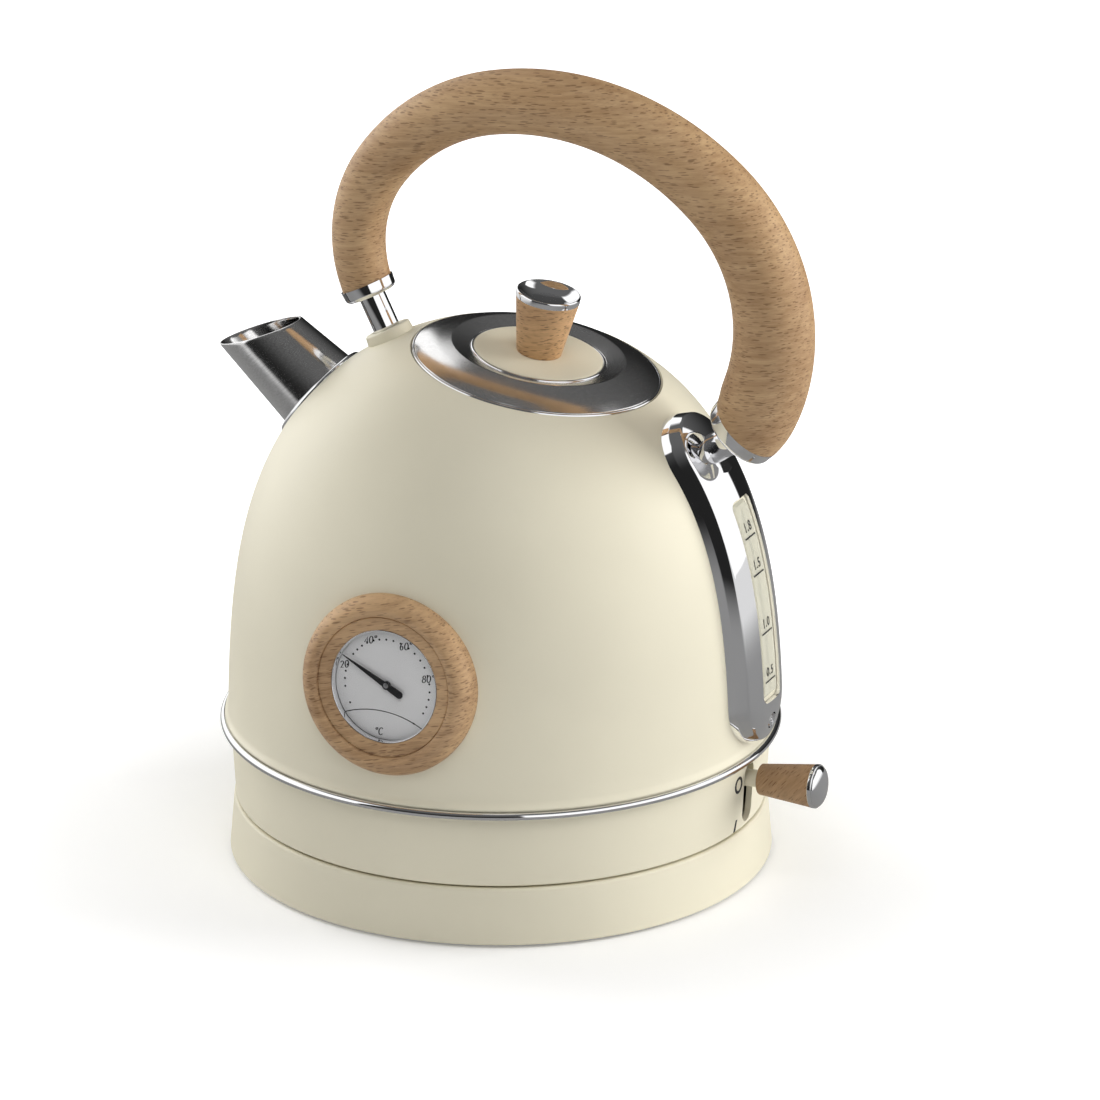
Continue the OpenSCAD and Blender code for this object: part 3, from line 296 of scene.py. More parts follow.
class Val:
    """A node's output socket that can be used in arithmetic; each operation adds a Math node."""

    def __init__(self, shader: "Shader", socket: bpy.types.NodeSocket) -> None:
        """Keeps the shader and the socket."""
        self.shader, self.socket = shader, socket

    def _math(self, operation: str, *others: "Input", flip: bool = False) -> "Val":
        """Adds a Math node on this value and the others, with the first two swapped if flip is set."""
        values = [self, *others]
        if flip:
            values[:2] = values[1::-1]
        return self.shader.node("ShaderNodeMath", {"operation": operation}, dict(enumerate(values)))

    def __add__(self, other: "Input") -> "Val":
        """Sum."""
        return self._math("ADD", other)

    __radd__ = __add__

    def __mul__(self, other: "Input") -> "Val":
        """Product."""
        return self._math("MULTIPLY", other)

    __rmul__ = __mul__

    def __sub__(self, other: "Input") -> "Val":
        """Difference."""
        return self._math("SUBTRACT", other)

    def __rsub__(self, other: "Input") -> "Val":
        """Difference, with this value taken away."""
        return self._math("SUBTRACT", other, flip=True)

    def __pow__(self, other: "Input") -> "Val":
        """Power."""
        return self._math("POWER", other)

    def __abs__(self) -> "Val":
        """Value without its sign."""
        return self._math("ABSOLUTE")

    def clamp(self) -> "Val":
        """Keeps the value between 0 and 1."""
        return self._math("MINIMUM", 1.0)._math("MAXIMUM", 0.0)

    def larger(self, other: "Input") -> "Val":
        """The larger of two values."""
        return self._math("MAXIMUM", other)

    def band(self, low: float, high: float) -> "Val":
        """Rises smoothly from 0 at low to 1 at high."""
        settings = {"interpolation_type": "SMOOTHSTEP"}
        return self.shader.node("ShaderNodeMapRange", settings, {0: self, 1: low, 2: high, 3: 0.0, 4: 1.0})


Input = Union[Val, Number, Sequence[float]]


class Shader:
    """The node tree of a material, or of the world."""

    def __init__(self, name: str, world: bool = False) -> None:
        """Makes the material or the world, with nothing but its output node."""
        self.owner = bpy.data.worlds.new(name) if world else bpy.data.materials.new(name)
        self.owner.use_nodes = True
        self.tree = self.owner.node_tree
        self.tree.nodes.clear()
        self.output = self.tree.nodes.new("ShaderNodeOutputWorld" if world else "ShaderNodeOutputMaterial")

    def node(
        self, kind: str, settings: Optional[dict] = None, inputs: Optional[dict[Union[str, int], Input]] = None,
        output: Union[str, int] = 0,
    ) -> Val:
        """Adds a node.

        Args:
            kind: the node's type.
            settings: its properties, set first.
            inputs: values or links by socket name or number.
            output: which output is returned.

        Returns:
            The chosen output.
        """
        made = self.tree.nodes.new(kind)
        for key, value in (settings or {}).items():
            setattr(made, key, value)
        for key, value in (inputs or {}).items():
            socket = made.inputs[key]
            if isinstance(value, Val):
                self.tree.links.new(value.socket, socket)
            elif socket.type == "RGBA" and len(value) == 3:
                socket.default_value = (*value, 1.0)
            else:
                socket.default_value = value
        return Val(self, made.outputs[output])

    def place(self, scale: Sequence[float] = (1, 1, 1), turn: Sequence[float] = (0, 0, 0)) -> Val:
        """Object coordinates, turned by angles in degrees and scaled."""
        at = self.node("ShaderNodeTexCoord", output="Object")
        for key, value in (("Rotation", [math.radians(t) for t in turn]), ("Scale", list(scale))):
            at = self.node("ShaderNodeMapping", {"vector_type": "POINT"}, {0: at, key: value})
        return at

    def noise(self, at: Val, scale: float = 1.0, detail: float = 2.0, rough: float = 0.5) -> Val:
        """Fractal noise from 0 to 1."""
        inputs = {"Vector": at, "Scale": scale, "Detail": detail, "Roughness": rough}
        return self.node("ShaderNodeTexNoise", None, inputs)

    def mix(self, factor: Input, a: Input, b: Input) -> Val:
        """Mixes two colours."""
        return self.node("ShaderNodeMix", {"data_type": "RGBA", "blend_type": "MIX"}, {0: factor, 6: a, 7: b}, 2)

    def greys(self, factor: Input, a: float, b: float) -> Val:
        """Mixes two greys."""
        return self.mix(factor, (a,) * 3, (b,) * 3)

    def bump(self, height: Val, depth: float, strength: float = 1.0) -> Val:
        """A normal bent by a height of the given depth in metres."""
        return self.node("ShaderNodeBump", None, {"Strength": strength, "Distance": depth, "Height": height})

    def ray(self, kind: str) -> Val:
        """1 on rays of a kind, such as Camera."""
        return self.node("ShaderNodeLightPath", output=f"Is {kind} Ray")

    def close(self, last: Val) -> Union[bpy.types.Material, bpy.types.World]:
        """Links the last shader to the output, and returns the material or the world."""
        self.tree.links.new(last.socket, self.output.inputs["Surface"])
        return self.owner

    def surface(self, inputs: dict[str, Input]) -> bpy.types.Material:
        """Closes the tree with a Principled shader that has these inputs."""
        return self.close(self.node("ShaderNodeBsdfPrincipled", None, inputs))


def srgb(red: int, green: int, blue: int) -> Colour:
    """Linear colour of a screen colour given from 0 to 255: ((c + 0.055) / 1.055)^2.4 above the toe."""
    return tuple(((c / 255 + 0.055) / 1.055) ** 2.4 if c > 10 else c / 255 / 12.92 for c in (red, green, blue))


def shade(colour: Colour, factor: float) -> Colour:
    """A colour made darker or lighter by a factor, and kept within 1."""
    return tuple(min(1.0, c * factor) for c in colour)


# ---------------------------------------------------------------- finishes


@dataclass(frozen=True)
class Finish:
    """A surface finish, with the name of the record's material slot that it belongs to."""

    name: str
    slot: str

    def build(self) -> bpy.types.Material:
        """Makes the material."""
        raise NotImplementedError

    @cached_property
    def material(self) -> bpy.types.Material:
        """The finish's one material, made when it is first needed."""
        return self.build()


@dataclass(frozen=True)
class Paint(Finish):
    """Satin stove enamel, moulded plastic or ink: an even colour with a fine orange-peel skin."""

    colour: Colour
    roughness: float = 0.42
    peel: float = 0.00002
    grain: float = 900.0
    shift: float = 0.03
    coat: float = 0.0

    def build(self) -> bpy.types.Material:
        """Noise moves the colour by a few percent, the gloss a little, and lifts the skin."""
        s = Shader(self.name)
        broad = s.noise(s.place(), 14.0, 3.0)
        fine = s.noise(s.place(), self.grain, 2.0)
        darker, lighter = (shade(self.colour, 1 + shift) for shift in (-self.shift, self.shift))
        return s.surface({
            "Base Color": s.mix(broad.band(0.3, 0.7), darker, lighter),
            "Roughness": (fine * 0.08 + (self.roughness - 0.04)).clamp(),
            "Coat Weight": self.coat,
            "Normal": s.bump(fine, self.peel, 0.5),
        })


@dataclass(frozen=True)
class Chrome(Finish):
    """Mirror plating with the faintest polishing haze."""

    colour: Colour = (0.86, 0.86, 0.87)
    roughness: float = 0.035

    def build(self) -> bpy.types.Material:
        """Slow noise varies the haze; fine noise gives the rare dust speck."""
        s = Shader(self.name)
        haze = s.noise(s.place(), 40.0, 4.0)
        speck = s.noise(s.place(), 1500.0, 1.0).band(0.74, 0.8)
        return s.surface({
            "Base Color": self.colour,
            "Metallic": 1.0,
            "Roughness": (haze * 0.03 + speck * 0.06 + (self.roughness - 0.012)).clamp(),
            "Normal": s.bump(s.noise(s.place(), 24.0, 1.0), 0.00001, 0.15),
        })


@dataclass(frozen=True)
class Brushed(Finish):
    """Metal with fine lines: noise squeezed along the line's direction and stretched across it."""

    colour: Colour
    roughness: float
    scale: Colour
    turn: Colour = (0.0, 0.0, 0.0)
    depth: float = 0.000012

    def build(self) -> bpy.types.Material:
        """The lines change colour, gloss and height together."""
        s = Shader(self.name)
        lines = s.noise(s.place(self.scale, self.turn), 1.0, 3.0, 0.65)
        return s.surface({
            "Base Color": s.mix(lines.band(0.25, 0.75), shade(self.colour, 0.82), shade(self.colour, 1.14)),
            "Metallic": 1.0,
            "Roughness": (lines * 0.14 + (self.roughness - 0.07)).clamp(),
            "Normal": s.bump(lines, self.depth, 0.6),
        })


@dataclass(frozen=True)
class Beech(Finish):
    """Steamed beech: soft bands of growth, a fine fibre and short dark ray flecks, all along one direction."""

    turn: Colour
    light: Colour = srgb(204, 170, 128)
    dark: Colour = srgb(160, 124, 86)
    fleck: Colour = srgb(104, 72, 46)
    across: float = 0.28

    def build(self) -> bpy.types.Material:
        """Flecks are cells of a stretched Voronoi pattern; bands and fibre are noise stretched along the grain."""
        s = Shader(self.name)
        deep = self.across
        grain = lambda x, y, z: s.place((x, y, z), self.turn)
        bands = s.noise(grain(10, 45, 45), 1.0, 4.0, 0.55)
        clouds = s.noise(grain(22, 26, 26))
        fibre = s.noise(grain(110, 2600 * deep, 2600), 1.0, 3.0, 0.7)
        streak = s.noise(grain(60, 700 * deep, 700), 1.0, 2.0, 0.6)
        wander = s.noise(grain(120, 120, 120), 1.0, 1.0)
        flecks = 1 - self._cells(s, grain(205, 1500 * deep, 1500)).band(0.26, 0.38)
        fine = 1 - self._cells(s, grain(380, 2600 * deep, 2600)).band(0.2, 0.36)
        spare = s.noise(s.place((190, 900, 900), (self.turn[0] + 7, *self.turn[1:])), 1.0, 1.0).band(0.3, 0.56)
        tone = (bands * 0.7 + clouds * 0.35 + streak * 0.6 + fibre * 0.4 - 0.52).clamp()
        marks = (flecks * spare * 0.62 + fine * 0.22 * wander.band(0.3, 0.7)).clamp()
        return s.surface({
            "Base Color": s.mix(marks, s.mix(tone.band(0.15, 0.85), self.dark, self.light), self.fleck),
            "Roughness": (fibre * 0.14 + marks * 0.1 + 0.43).clamp(),
            "Normal": s.bump(fibre * 0.5 - marks, 0.00004, 0.5),
        })

    @staticmethod
    def _cells(s: Shader, at: Val) -> Val:
        """Distance to the nearest of many scattered points."""
        settings = {"voronoi_dimensions": "3D", "feature": "F1"}
        return s.node("ShaderNodeTexVoronoi", settings, {"Vector": at, "Scale": 1.0}, "Distance")


@dataclass(frozen=True)
class Clear(Finish):
    """Clear plastic or glass, as a see-through skin with a glossy face."""

    colour: Colour
    alpha: float
    roughness: float

    def build(self) -> bpy.types.Material:
        """Slow noise makes the moulded face slightly uneven."""
        s = Shader(self.name)
        wave = s.noise(s.place(), 60.0, 2.0)
        return s.surface({
            "Base Color": self.colour,
            "Roughness": (wave * 0.03 + (self.roughness - 0.015)).clamp(),
            "IOR": 1.47,
            "Alpha": (wave * 0.02 + self.alpha).clamp(),
            "Normal": s.bump(wave, 0.00002, 0.2),
        })


CREAM_COLOUR = (0.80, 0.752, 0.592)
CREAM = Paint("cream_enamel", "cream_paint", CREAM_COLOUR)
CREAM_PLASTIC = Paint("cream_moulding", "cream_plastic", CREAM_COLOUR, 0.5, 0.00003, 1400.0, 0.02)
DARK_PLASTIC = Paint("dark_moulding", "dark_plastic", (0.03, 0.03, 0.032), 0.5, 0.00004, 1600.0, 0.15)
RUBBER = Paint("foot_rubber", "foot_rubber", (0.62, 0.59, 0.48), 0.75, 0.00006, 2200.0, 0.08)
SEAL = Paint("silicone_seal", "seal", (0.56, 0.56, 0.54), 0.6, 0.00003, 1800.0, 0.06)
DIAL_ENAMEL = Paint("dial_enamel", "dial_paint", (0.88, 0.88, 0.885), 0.4, 0.000006, 700.0, 0.02, 0.1)
INK = Paint("printed_ink", "needle_paint", (0.012, 0.012, 0.013), 0.5, 0.000004, 2000.0, 0.1)
CHROME = Chrome("chrome_plate", "chrome_trim")
ZINC = Brushed("zinc_plate", "zinc_screw", (0.62, 0.62, 0.63), 0.3, (900, 900, 900))
STEEL = Brushed("brushed_steel", "steel", (0.5, 0.5, 0.5), 0.3, (2600, 2600, 300))
LID_STEEL = Brushed("lid_steel", "steel", (0.84, 0.835, 0.83), 0.15, (2400, 2400, 2400), depth=0.000016)
SPOUT_STEEL = Brushed("spout_steel", "steel", (0.82, 0.815, 0.81), 0.13, (90, 3400, 3400), (0, 38.9, 0), 0.00001)
ALUMINIUM = Brushed("aluminium", "aluminium_plate", (0.7, 0.7, 0.71), 0.35, (1200, 1200, 1200))
BRASS = Brushed("contact_brass", "contact_brass", (0.75, 0.55, 0.22), 0.3, (900, 900, 1800))
HANDLE_BEECH = Beech("beech_handle", "beech", (0, 6, 0))
DIAL_BEECH = Beech("beech_dial", "beech", (0, 14, 0), srgb(204, 168, 126), srgb(148, 114, 80))
KNOB_BEECH = Beech("beech_knob", "beech", (0, 4, 0), srgb(222, 180, 132), srgb(172, 132, 92))
LEVER_BEECH = Beech("beech_lever", "beech", (0, 50, 0), srgb(182, 146, 108), srgb(134, 104, 74))
WINDOW = Clear("window_moulding", "clear_window", (0.74, 0.73, 0.62), 0.62, 0.16)
PANE = Clear("dial_pane", "dial_pane", (0.02, 0.02, 0.02), 0.05, 0.03)

KEPT: dict[Finish, tuple[str, ...]] = {
    DARK_PLASTIC: (
        "power_base_plate", "base_plug", "cord_gland", "socket_housing", "thermostat", "steam_switch", "lid_plug"
    ),
    RUBBER: ("base_feet",),
    ZINC: ("base_screws", "cover_screws", "handle_bolts", "handle_studs", "lid_screw", "lever_pin"),
    BRASS: ("base_contacts", "socket_contacts"),
    CREAM_PLASTIC: ("bottom_cover", "lever_arm"),
    ALUMINIUM: ("heat_spreader", "heating_element"),
    STEEL: ("steam_tube", "lever_bracket", "floor_plate", "spout_filter", "lid_seat", "dial_nut", "dial_probe"),
    SEAL: ("lid_gasket", "window_gasket"),
}


def dress(piece: bpy.types.Object, finish: Finish, *nodes: str, body: Body = Body.KETTLE) -> None:
    """Gives a new piece its finish and its body, and hides the CAD nodes that it stands for."""
    piece.data.materials.clear()
    piece.data.materials.append(finish.material)
    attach(piece, body.value)
    if nodes:
        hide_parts(*nodes)
    LOG.info("%s: %d faces", piece.name, len(piece.data.polygons))


def keep(finish: Finish, nodes: Sequence[str]) -> None:
    """Gives CAD nodes that stay in view a finish in their own material slots."""
    for node in nodes:
        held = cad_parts[node]
        if not held.material_slots:
            held.data.materials.append(finish.material)
        for place in held.material_slots:
            place.material = finish.material


def turned(
    name: str, section: Array, place: Frame, columns: int, finish: Finish, *nodes: str,
    close: bool = False, sharp: float = SHARP, body: Body = Body.KETTLE,
) -> None:
    """Revolves a section in a frame and dresses the piece."""
    dress(revolve(name, section, place, columns, close, sharp), finish, *nodes, body=body)


# ---------------------------------------------------------------- the dome


@dataclass
class Dome:
    """The body's curve: r = R (1 - ((z - f) / s)^p)^(1/q), between a foot f and a peak f + s."""

    radius: float = 96.0
    low: float = 49.8
    height: float = 142.4
    drop: float = 74.5
    power: float = 4.86
    round: float = 1.93
    steel: float = 1.0

    @property
    def foot(self) -> float:
        """Height where the curve would start."""
        return self.low - self.drop

    @property
    def span(self) -> float:
        """Height of the whole curve."""
        return self.height + self.drop

    def r(self, z: Array) -> Array:
        """Radius at a height."""
        share = np.clip((np.asarray(z, float) - self.foot) / self.span, 0, 1)
        return self.radius * (1 - share**self.power) ** (1 / self.round)

    def z(self, r: Array) -> Array:
        """Height at a radius."""
        share = np.clip(np.asarray(r, float) / self.radius, 0, 1)
        return self.foot + self.span * (1 - share**self.round) ** (1 / self.power)

    def tilt(self, z: Array) -> Array:
        """Angle of the outward normal above level, in radians, from the slope of r(z)."""
        step = 0.01
        return np.arctan(-(self.r(np.asarray(z) + step) - self.r(np.asarray(z) - step)) / (2 * step))

    def point(self, z: Array, out: Array) -> Array:
        """[x, z] at a distance out along the normal of the curve on the +X side."""
        n = self.tilt(z)
        return np.stack([self.r(z) + out * np.cos(n), z + out * np.sin(n)], -1)

    def under_peak(self, points: Array) -> Array:
        """Heights of points, kept just below the peak."""
        return np.minimum(points[..., 2], self.low + self.height - 0.05)

    def gap(self, points: Array) -> Array:
        """Signed distance from the surface, taken as (r - r(z)) times the cosine of the normal's angle."""
        z = self.under_peak(points)
        out = (np.hypot(points[..., 0], points[..., 1]) - self.r(z)) * np.cos(self.tilt(z))
        return out + np.maximum(points[..., 2] - z, 0)

    def land(self, starts: Array, direction: Array, out: Array) -> Array:
        """Moves points along a direction until their distance from the surface is out.

        Bisection: the distance grows along the direction, so the bracket is halved 40 times.
        """
        low, high = np.full(starts.shape[:-1], -30.0), np.full(starts.shape[:-1], 30.0)
        for _ in range(40):
            middle = (low + high) / 2
            outside = self.gap(starts + middle[..., None] * direction) > out
            high, low = np.where(outside, middle, high), np.where(outside, low, middle)
        return starts + ((low + high) / 2)[..., None] * direction

    def back_frame(self, z: float, out: float = 0.0) -> Frame:
        """Frame on the back line, with Z square to the surface."""
        return Frame.aimed(self.point(np.array(z), np.array(out)), math.degrees(float(self.tilt(z))))


DOME = Dome()


# ---------------------------------------------------------------- power base


@dataclass
class PowerBase:
    """The round base's outer shell."""

    foot_h: float = 1.2
    low_r: float = 95.7
    top_r: float = 93.9
    top: float = 21.4
    wall: float = 2.2
    hole_r: float = 17.5

    def build(self) -> None:
        """Makes a thin shell with a rounded shoulder and a hole for the plug."""
        under = self.top - self.wall
        section = filleted([
            (self.hole_r, under), (self.top_r - self.wall - 1, under, 1.5), (self.low_r - self.wall, self.foot_h),
            (self.low_r, self.foot_h, 0.78), (self.top_r, self.top, 1.3), (self.hole_r, self.top, 0.5),
        ], 9, True)
        turned("base_moulding", section, UPRIGHT, 256, CREAM_PLASTIC, "power_base_shell", close=True,
               body=Body.POWER_BASE)


# ---------------------------------------------------------------- skirt and trim


@dataclass
class Skirt:
    """The plastic skirt with the lever's slot and its printed marks, and the chrome bead above it."""

    low: float = 22.1
    top: float = 48.6
    low_r: float = 93.4
    top_r: float = 94.9
    wall: float = 2.2
    hole_r: float = 86.2
    slot_half: float = 4.0
    slot_low: float = 23.6
    slot_high: float = 45.7
    bead_r: float = 98.48
    bead_d: float = 2.8
    bead_z: float = 49.2
    ink_out: float = 0.04
    ink_skin: float = 0.06

    def wall_shell(self) -> bpy.types.Object:
        """A thin ring with a folded top, and the slot cut through it."""
        under, inside = self.top - 2, self.top_r - self.wall
        ring = revolve("skirt_moulding", filleted([
            (self.low_r - self.wall, self.low, 0.3), (self.low_r, self.low, 0.9), (self.top_r, self.top, 0.3),
            (self.hole_r, self.top, 0.3), (self.hole_r, under), (inside, under, 0.4),
        ], 7, True), columns=320, close=True)
        half, cap = self.slot_half, self.slot_half * way(np.radians(np.linspace(-90, 90, 17)))
        outline = np.concatenate([[self.slot_high - half, 0] + cap, [self.slot_low + half, 0] - cap])
        carve(ring, [prism("slot_cutter", outline, 80, 110, Frame(np.zeros(3), *np.eye(3)[::-1]))])
        return ring

    def mark(self, angle: float, z: float, local: Array) -> Array:
        """Lays [across, up] points on the skirt's face round an angle: each keeps its arc length."""
        height = z + local[..., 1]
        r = self.low_r + (self.top_r - self.low_r) * (height - self.low) / (self.top - self.low) + self.ink_out
        turn = math.radians(angle) + local[..., 0] / self.low_r
        return np.stack([r * np.cos(turn), r * np.sin(turn), height], -1)

    def ribbon(self, name: str, angle: float, z: float, lines: Sequence[Array], loop: bool) -> None:
        """A thin printed mark between two lines of [across, up] points."""
        a, b = (self.mark(angle, z, line) for line in lines)
        out = unit(a * [1, 1, 0]) * self.ink_skin
        rows = np.stack([a, b, b - out, a - out], 0)
        columns = rows.shape[1]
        faces = [lattice(4, columns, True, loop)]
        points = rows.reshape(-1, 3)
        if not loop:
            step = np.arange(4) * columns
            faces += [step[None, ::-1], (step + columns - 1)[None]]
        if signed_volume(points, faces[0]) < 0:
            faces = [f[:, ::-1] for f in faces]
        dress(make_mesh(name, points, faces), INK)

    def build(self) -> None:
        """Makes the skirt, the bead, and the O and I marks."""
        dress(self.wall_shell(), CREAM_PLASTIC, "skirt")
        thick = self.bead_d / 2
        outer = [self.bead_r - thick, self.bead_z] + thick * way(turns(24))
        lip = [[self.hole_r, self.bead_z + 0.4], [self.hole_r, self.bead_z - 0.4]]
        section = np.concatenate([outer[:11], lip, outer[14:]])
        turned("trim_bead", section, UPRIGHT, 320, CHROME, "trim_ring", close=True, sharp=50)
        oval = way(turns(40))
        self.ribbon("mark_off", -5.1, 40.0, [oval * [1.6, 2.1], oval * [2.7, 3.15]], True)
        y = np.linspace(-2.15, 2.15, 8)
        self.ribbon("mark_on", -5.5, 24.7, [np.stack([y * 0.28 + side, y], -1) for side in (-0.62, 0.62)], False)


# ---------------------------------------------------------------- vessel and spout


@dataclass
class Vessel:
    """The steel dome with its lid opening, the spout and the spout's flange."""

    lip_r: float = 96.9
    lip_z: float = 50.8
    foot_z: float = 49.85
    hole_gap: float = 0.1
    spout_hole_r: float = 13.6
    dial_hole_r: float = 21.0
    hole_half: float = 20.0
    spout_foot: float = 70.35
    spout_angle: float = 38.9
    spout_r: float = 16.0
    spout_root: float = 4.0
    taper: float = 0.089
    spout_len: float = 29.0
    mouth_tilt: float = 20.0
    spout_wall: float = 0.9

    def spout_frame(self) -> Frame:
        """Frame on the dome with Z along the spout."""
        return Frame.aimed((-self.spout_foot, float(DOME.z(self.spout_foot))), 180 - self.spout_angle)

    def skin(self, lid: "Lid", columns: int, rows: int) -> Array:
        """Rings from the foot to the lid's opening.

        With c = angle from the dome's pole in the curve's own parameter and a = the turn about Z, each ring is a
        mix of the lowest circle and the opening's edge in the plane (c cos a, c sin a), laid back on the dome.
        """
        a = turns(columns)
        place = lid.frame()
        opening = DOME.land(place.place(raised(way(a), 0) * (lid.radius + self.hole_gap)), place.z, 0.0)
        share = lambda r: np.arccos(np.clip(r / DOME.radius, 0, 1) ** (DOME.round / 2))
        low = np.full(columns, float(DOME.r(self.lip_z + 3.0)))
        start = (np.pi / 2 - share(low))[:, None] * way(a)
        flat = opening[:, :2]
        end = (np.pi / 2 - share(np.linalg.norm(flat, axis=1)))[:, None] * unit(flat)
        t = (np.linspace(0, 1, rows) ** 0.9)[:, None, None]
        plane = (1 - t) * start + t * end
        c, turn = np.linalg.norm(plane, axis=-1), np.arctan2(plane[..., 1], plane[..., 0])
        r = DOME.radius * np.sin(c) ** (2 / DOME.round)
        return np.stack([r * np.cos(turn), r * np.sin(turn), DOME.z(r)], -1)

    def normals(self, points: Array) -> Array:
        """Outward normals of the dome at points on it."""
        n = DOME.tilt(DOME.under_peak(points))[..., None]
        return unit(points * [1, 1, 0]) * np.cos(n) + [0, 0, 1] * np.sin(n)

    def body(self, lid: "Lid") -> bpy.types.Object:
        """The dome as a steel wall: the outer skin, the foot's lip, and the inner skin one wall inwards."""
        columns, z = 288, self.lip_z
        outer = self.skin(lid, columns, 90)
        inner = outer - self.normals(outer) * DOME.steel
        foot_r = float(DOME.r(50.0))
        foot = filleted([
            (foot_r - 1.0, self.foot_z), (foot_r, self.foot_z, 0.1), (self.lip_r - 0.2, z, 0.3),
            (self.lip_r, z + 0.7, 0.4), (float(DOME.r(z + 2.0)) + 0.35, z + 1.9, 1.0),
            (float(DOME.r(z + 3.0)), z + 3.0),
        ], 6)[:-1]
        made = shell("dome_body", np.concatenate([spun(foot, turns(columns)), outer, inner[::-1]]), True)
        carve(made, [
            revolve(name, pin(r, -self.hole_half, self.hole_half), at, 96) for name, r, at in (
                ("spout_cutter", self.spout_hole_r, self.spout_frame()),
                ("dial_cutter", self.dial_hole_r, Dial.frame()),
            )
        ])
        return made

    def wall(self, less: float, share: Array, back: float = 0.0) -> Array:
        """Rings of the spout's wall that is thinner by less, at shares of the way to the mouth.

        On the cone r = R - k h, the mouth's plane through the axis at L tilted by g gives
        h = (L - R tan g cos a) / (1 - k tan g cos a), and the rings are kept back from it.
        """
        a = turns(160)
        g = math.tan(math.radians(90 - self.spout_angle - self.mouth_tilt)) * np.cos(a)
        mouth = (self.spout_len - (self.spout_r - less) * g) / (1 - self.taper * g)
        h = (mouth[None] - back + self.spout_root) * share[:, None] - self.spout_root
        r = self.spout_r - less - self.taper * h
        return np.stack([r * np.cos(a), r * np.sin(a), h], -1)

    def spout(self) -> bpy.types.Object:
        """A tapered tube from inside the dome to the slanting mouth, with a rounded rim."""
        t, w, one = np.linspace(0, 1, 40), self.spout_wall, np.ones(1)
        rim = [self.wall(less, one, back) for less, back in ((0.1, 0.12), (w / 2, 0.0), (w - 0.1, 0.12))]
        rows = np.concatenate([self.wall(0, t, 0.4), *rim, self.wall(w, t[::-1], 0.4)])
        return shell("spout_tube", self.spout_frame().place(rows), True)

    def flange(self) -> bpy.types.Object:
        """A ring that hugs the dome round the spout: each section point is landed on the dome's offset."""
        section = filleted([
            (15.7, -0.5), (19.2, -0.5), (19.25, 0.55, 0.5), (18.6, 1.05, 0.4), (16.9, 1.1, 0.3), (15.7, 0.5, 0.2)
        ], 5, True)
        a, place = turns(160), self.spout_frame()
        out = np.repeat(section[:, 1:], len(a), 1)
        return shell("spout_collar", DOME.land(place.place(spun(section * [1, 0], a)), place.z, out), True)

    def build(self, lid: "Lid") -> None:
        """Makes the dome, the spout and its collar."""
        dress(self.body(lid), CREAM, "body_shell")
        dress(self.spout(), SPOUT_STEEL, "spout")
        dress(self.flange(), CHROME, "spout_flange")


# ---------------------------------------------------------------- lid


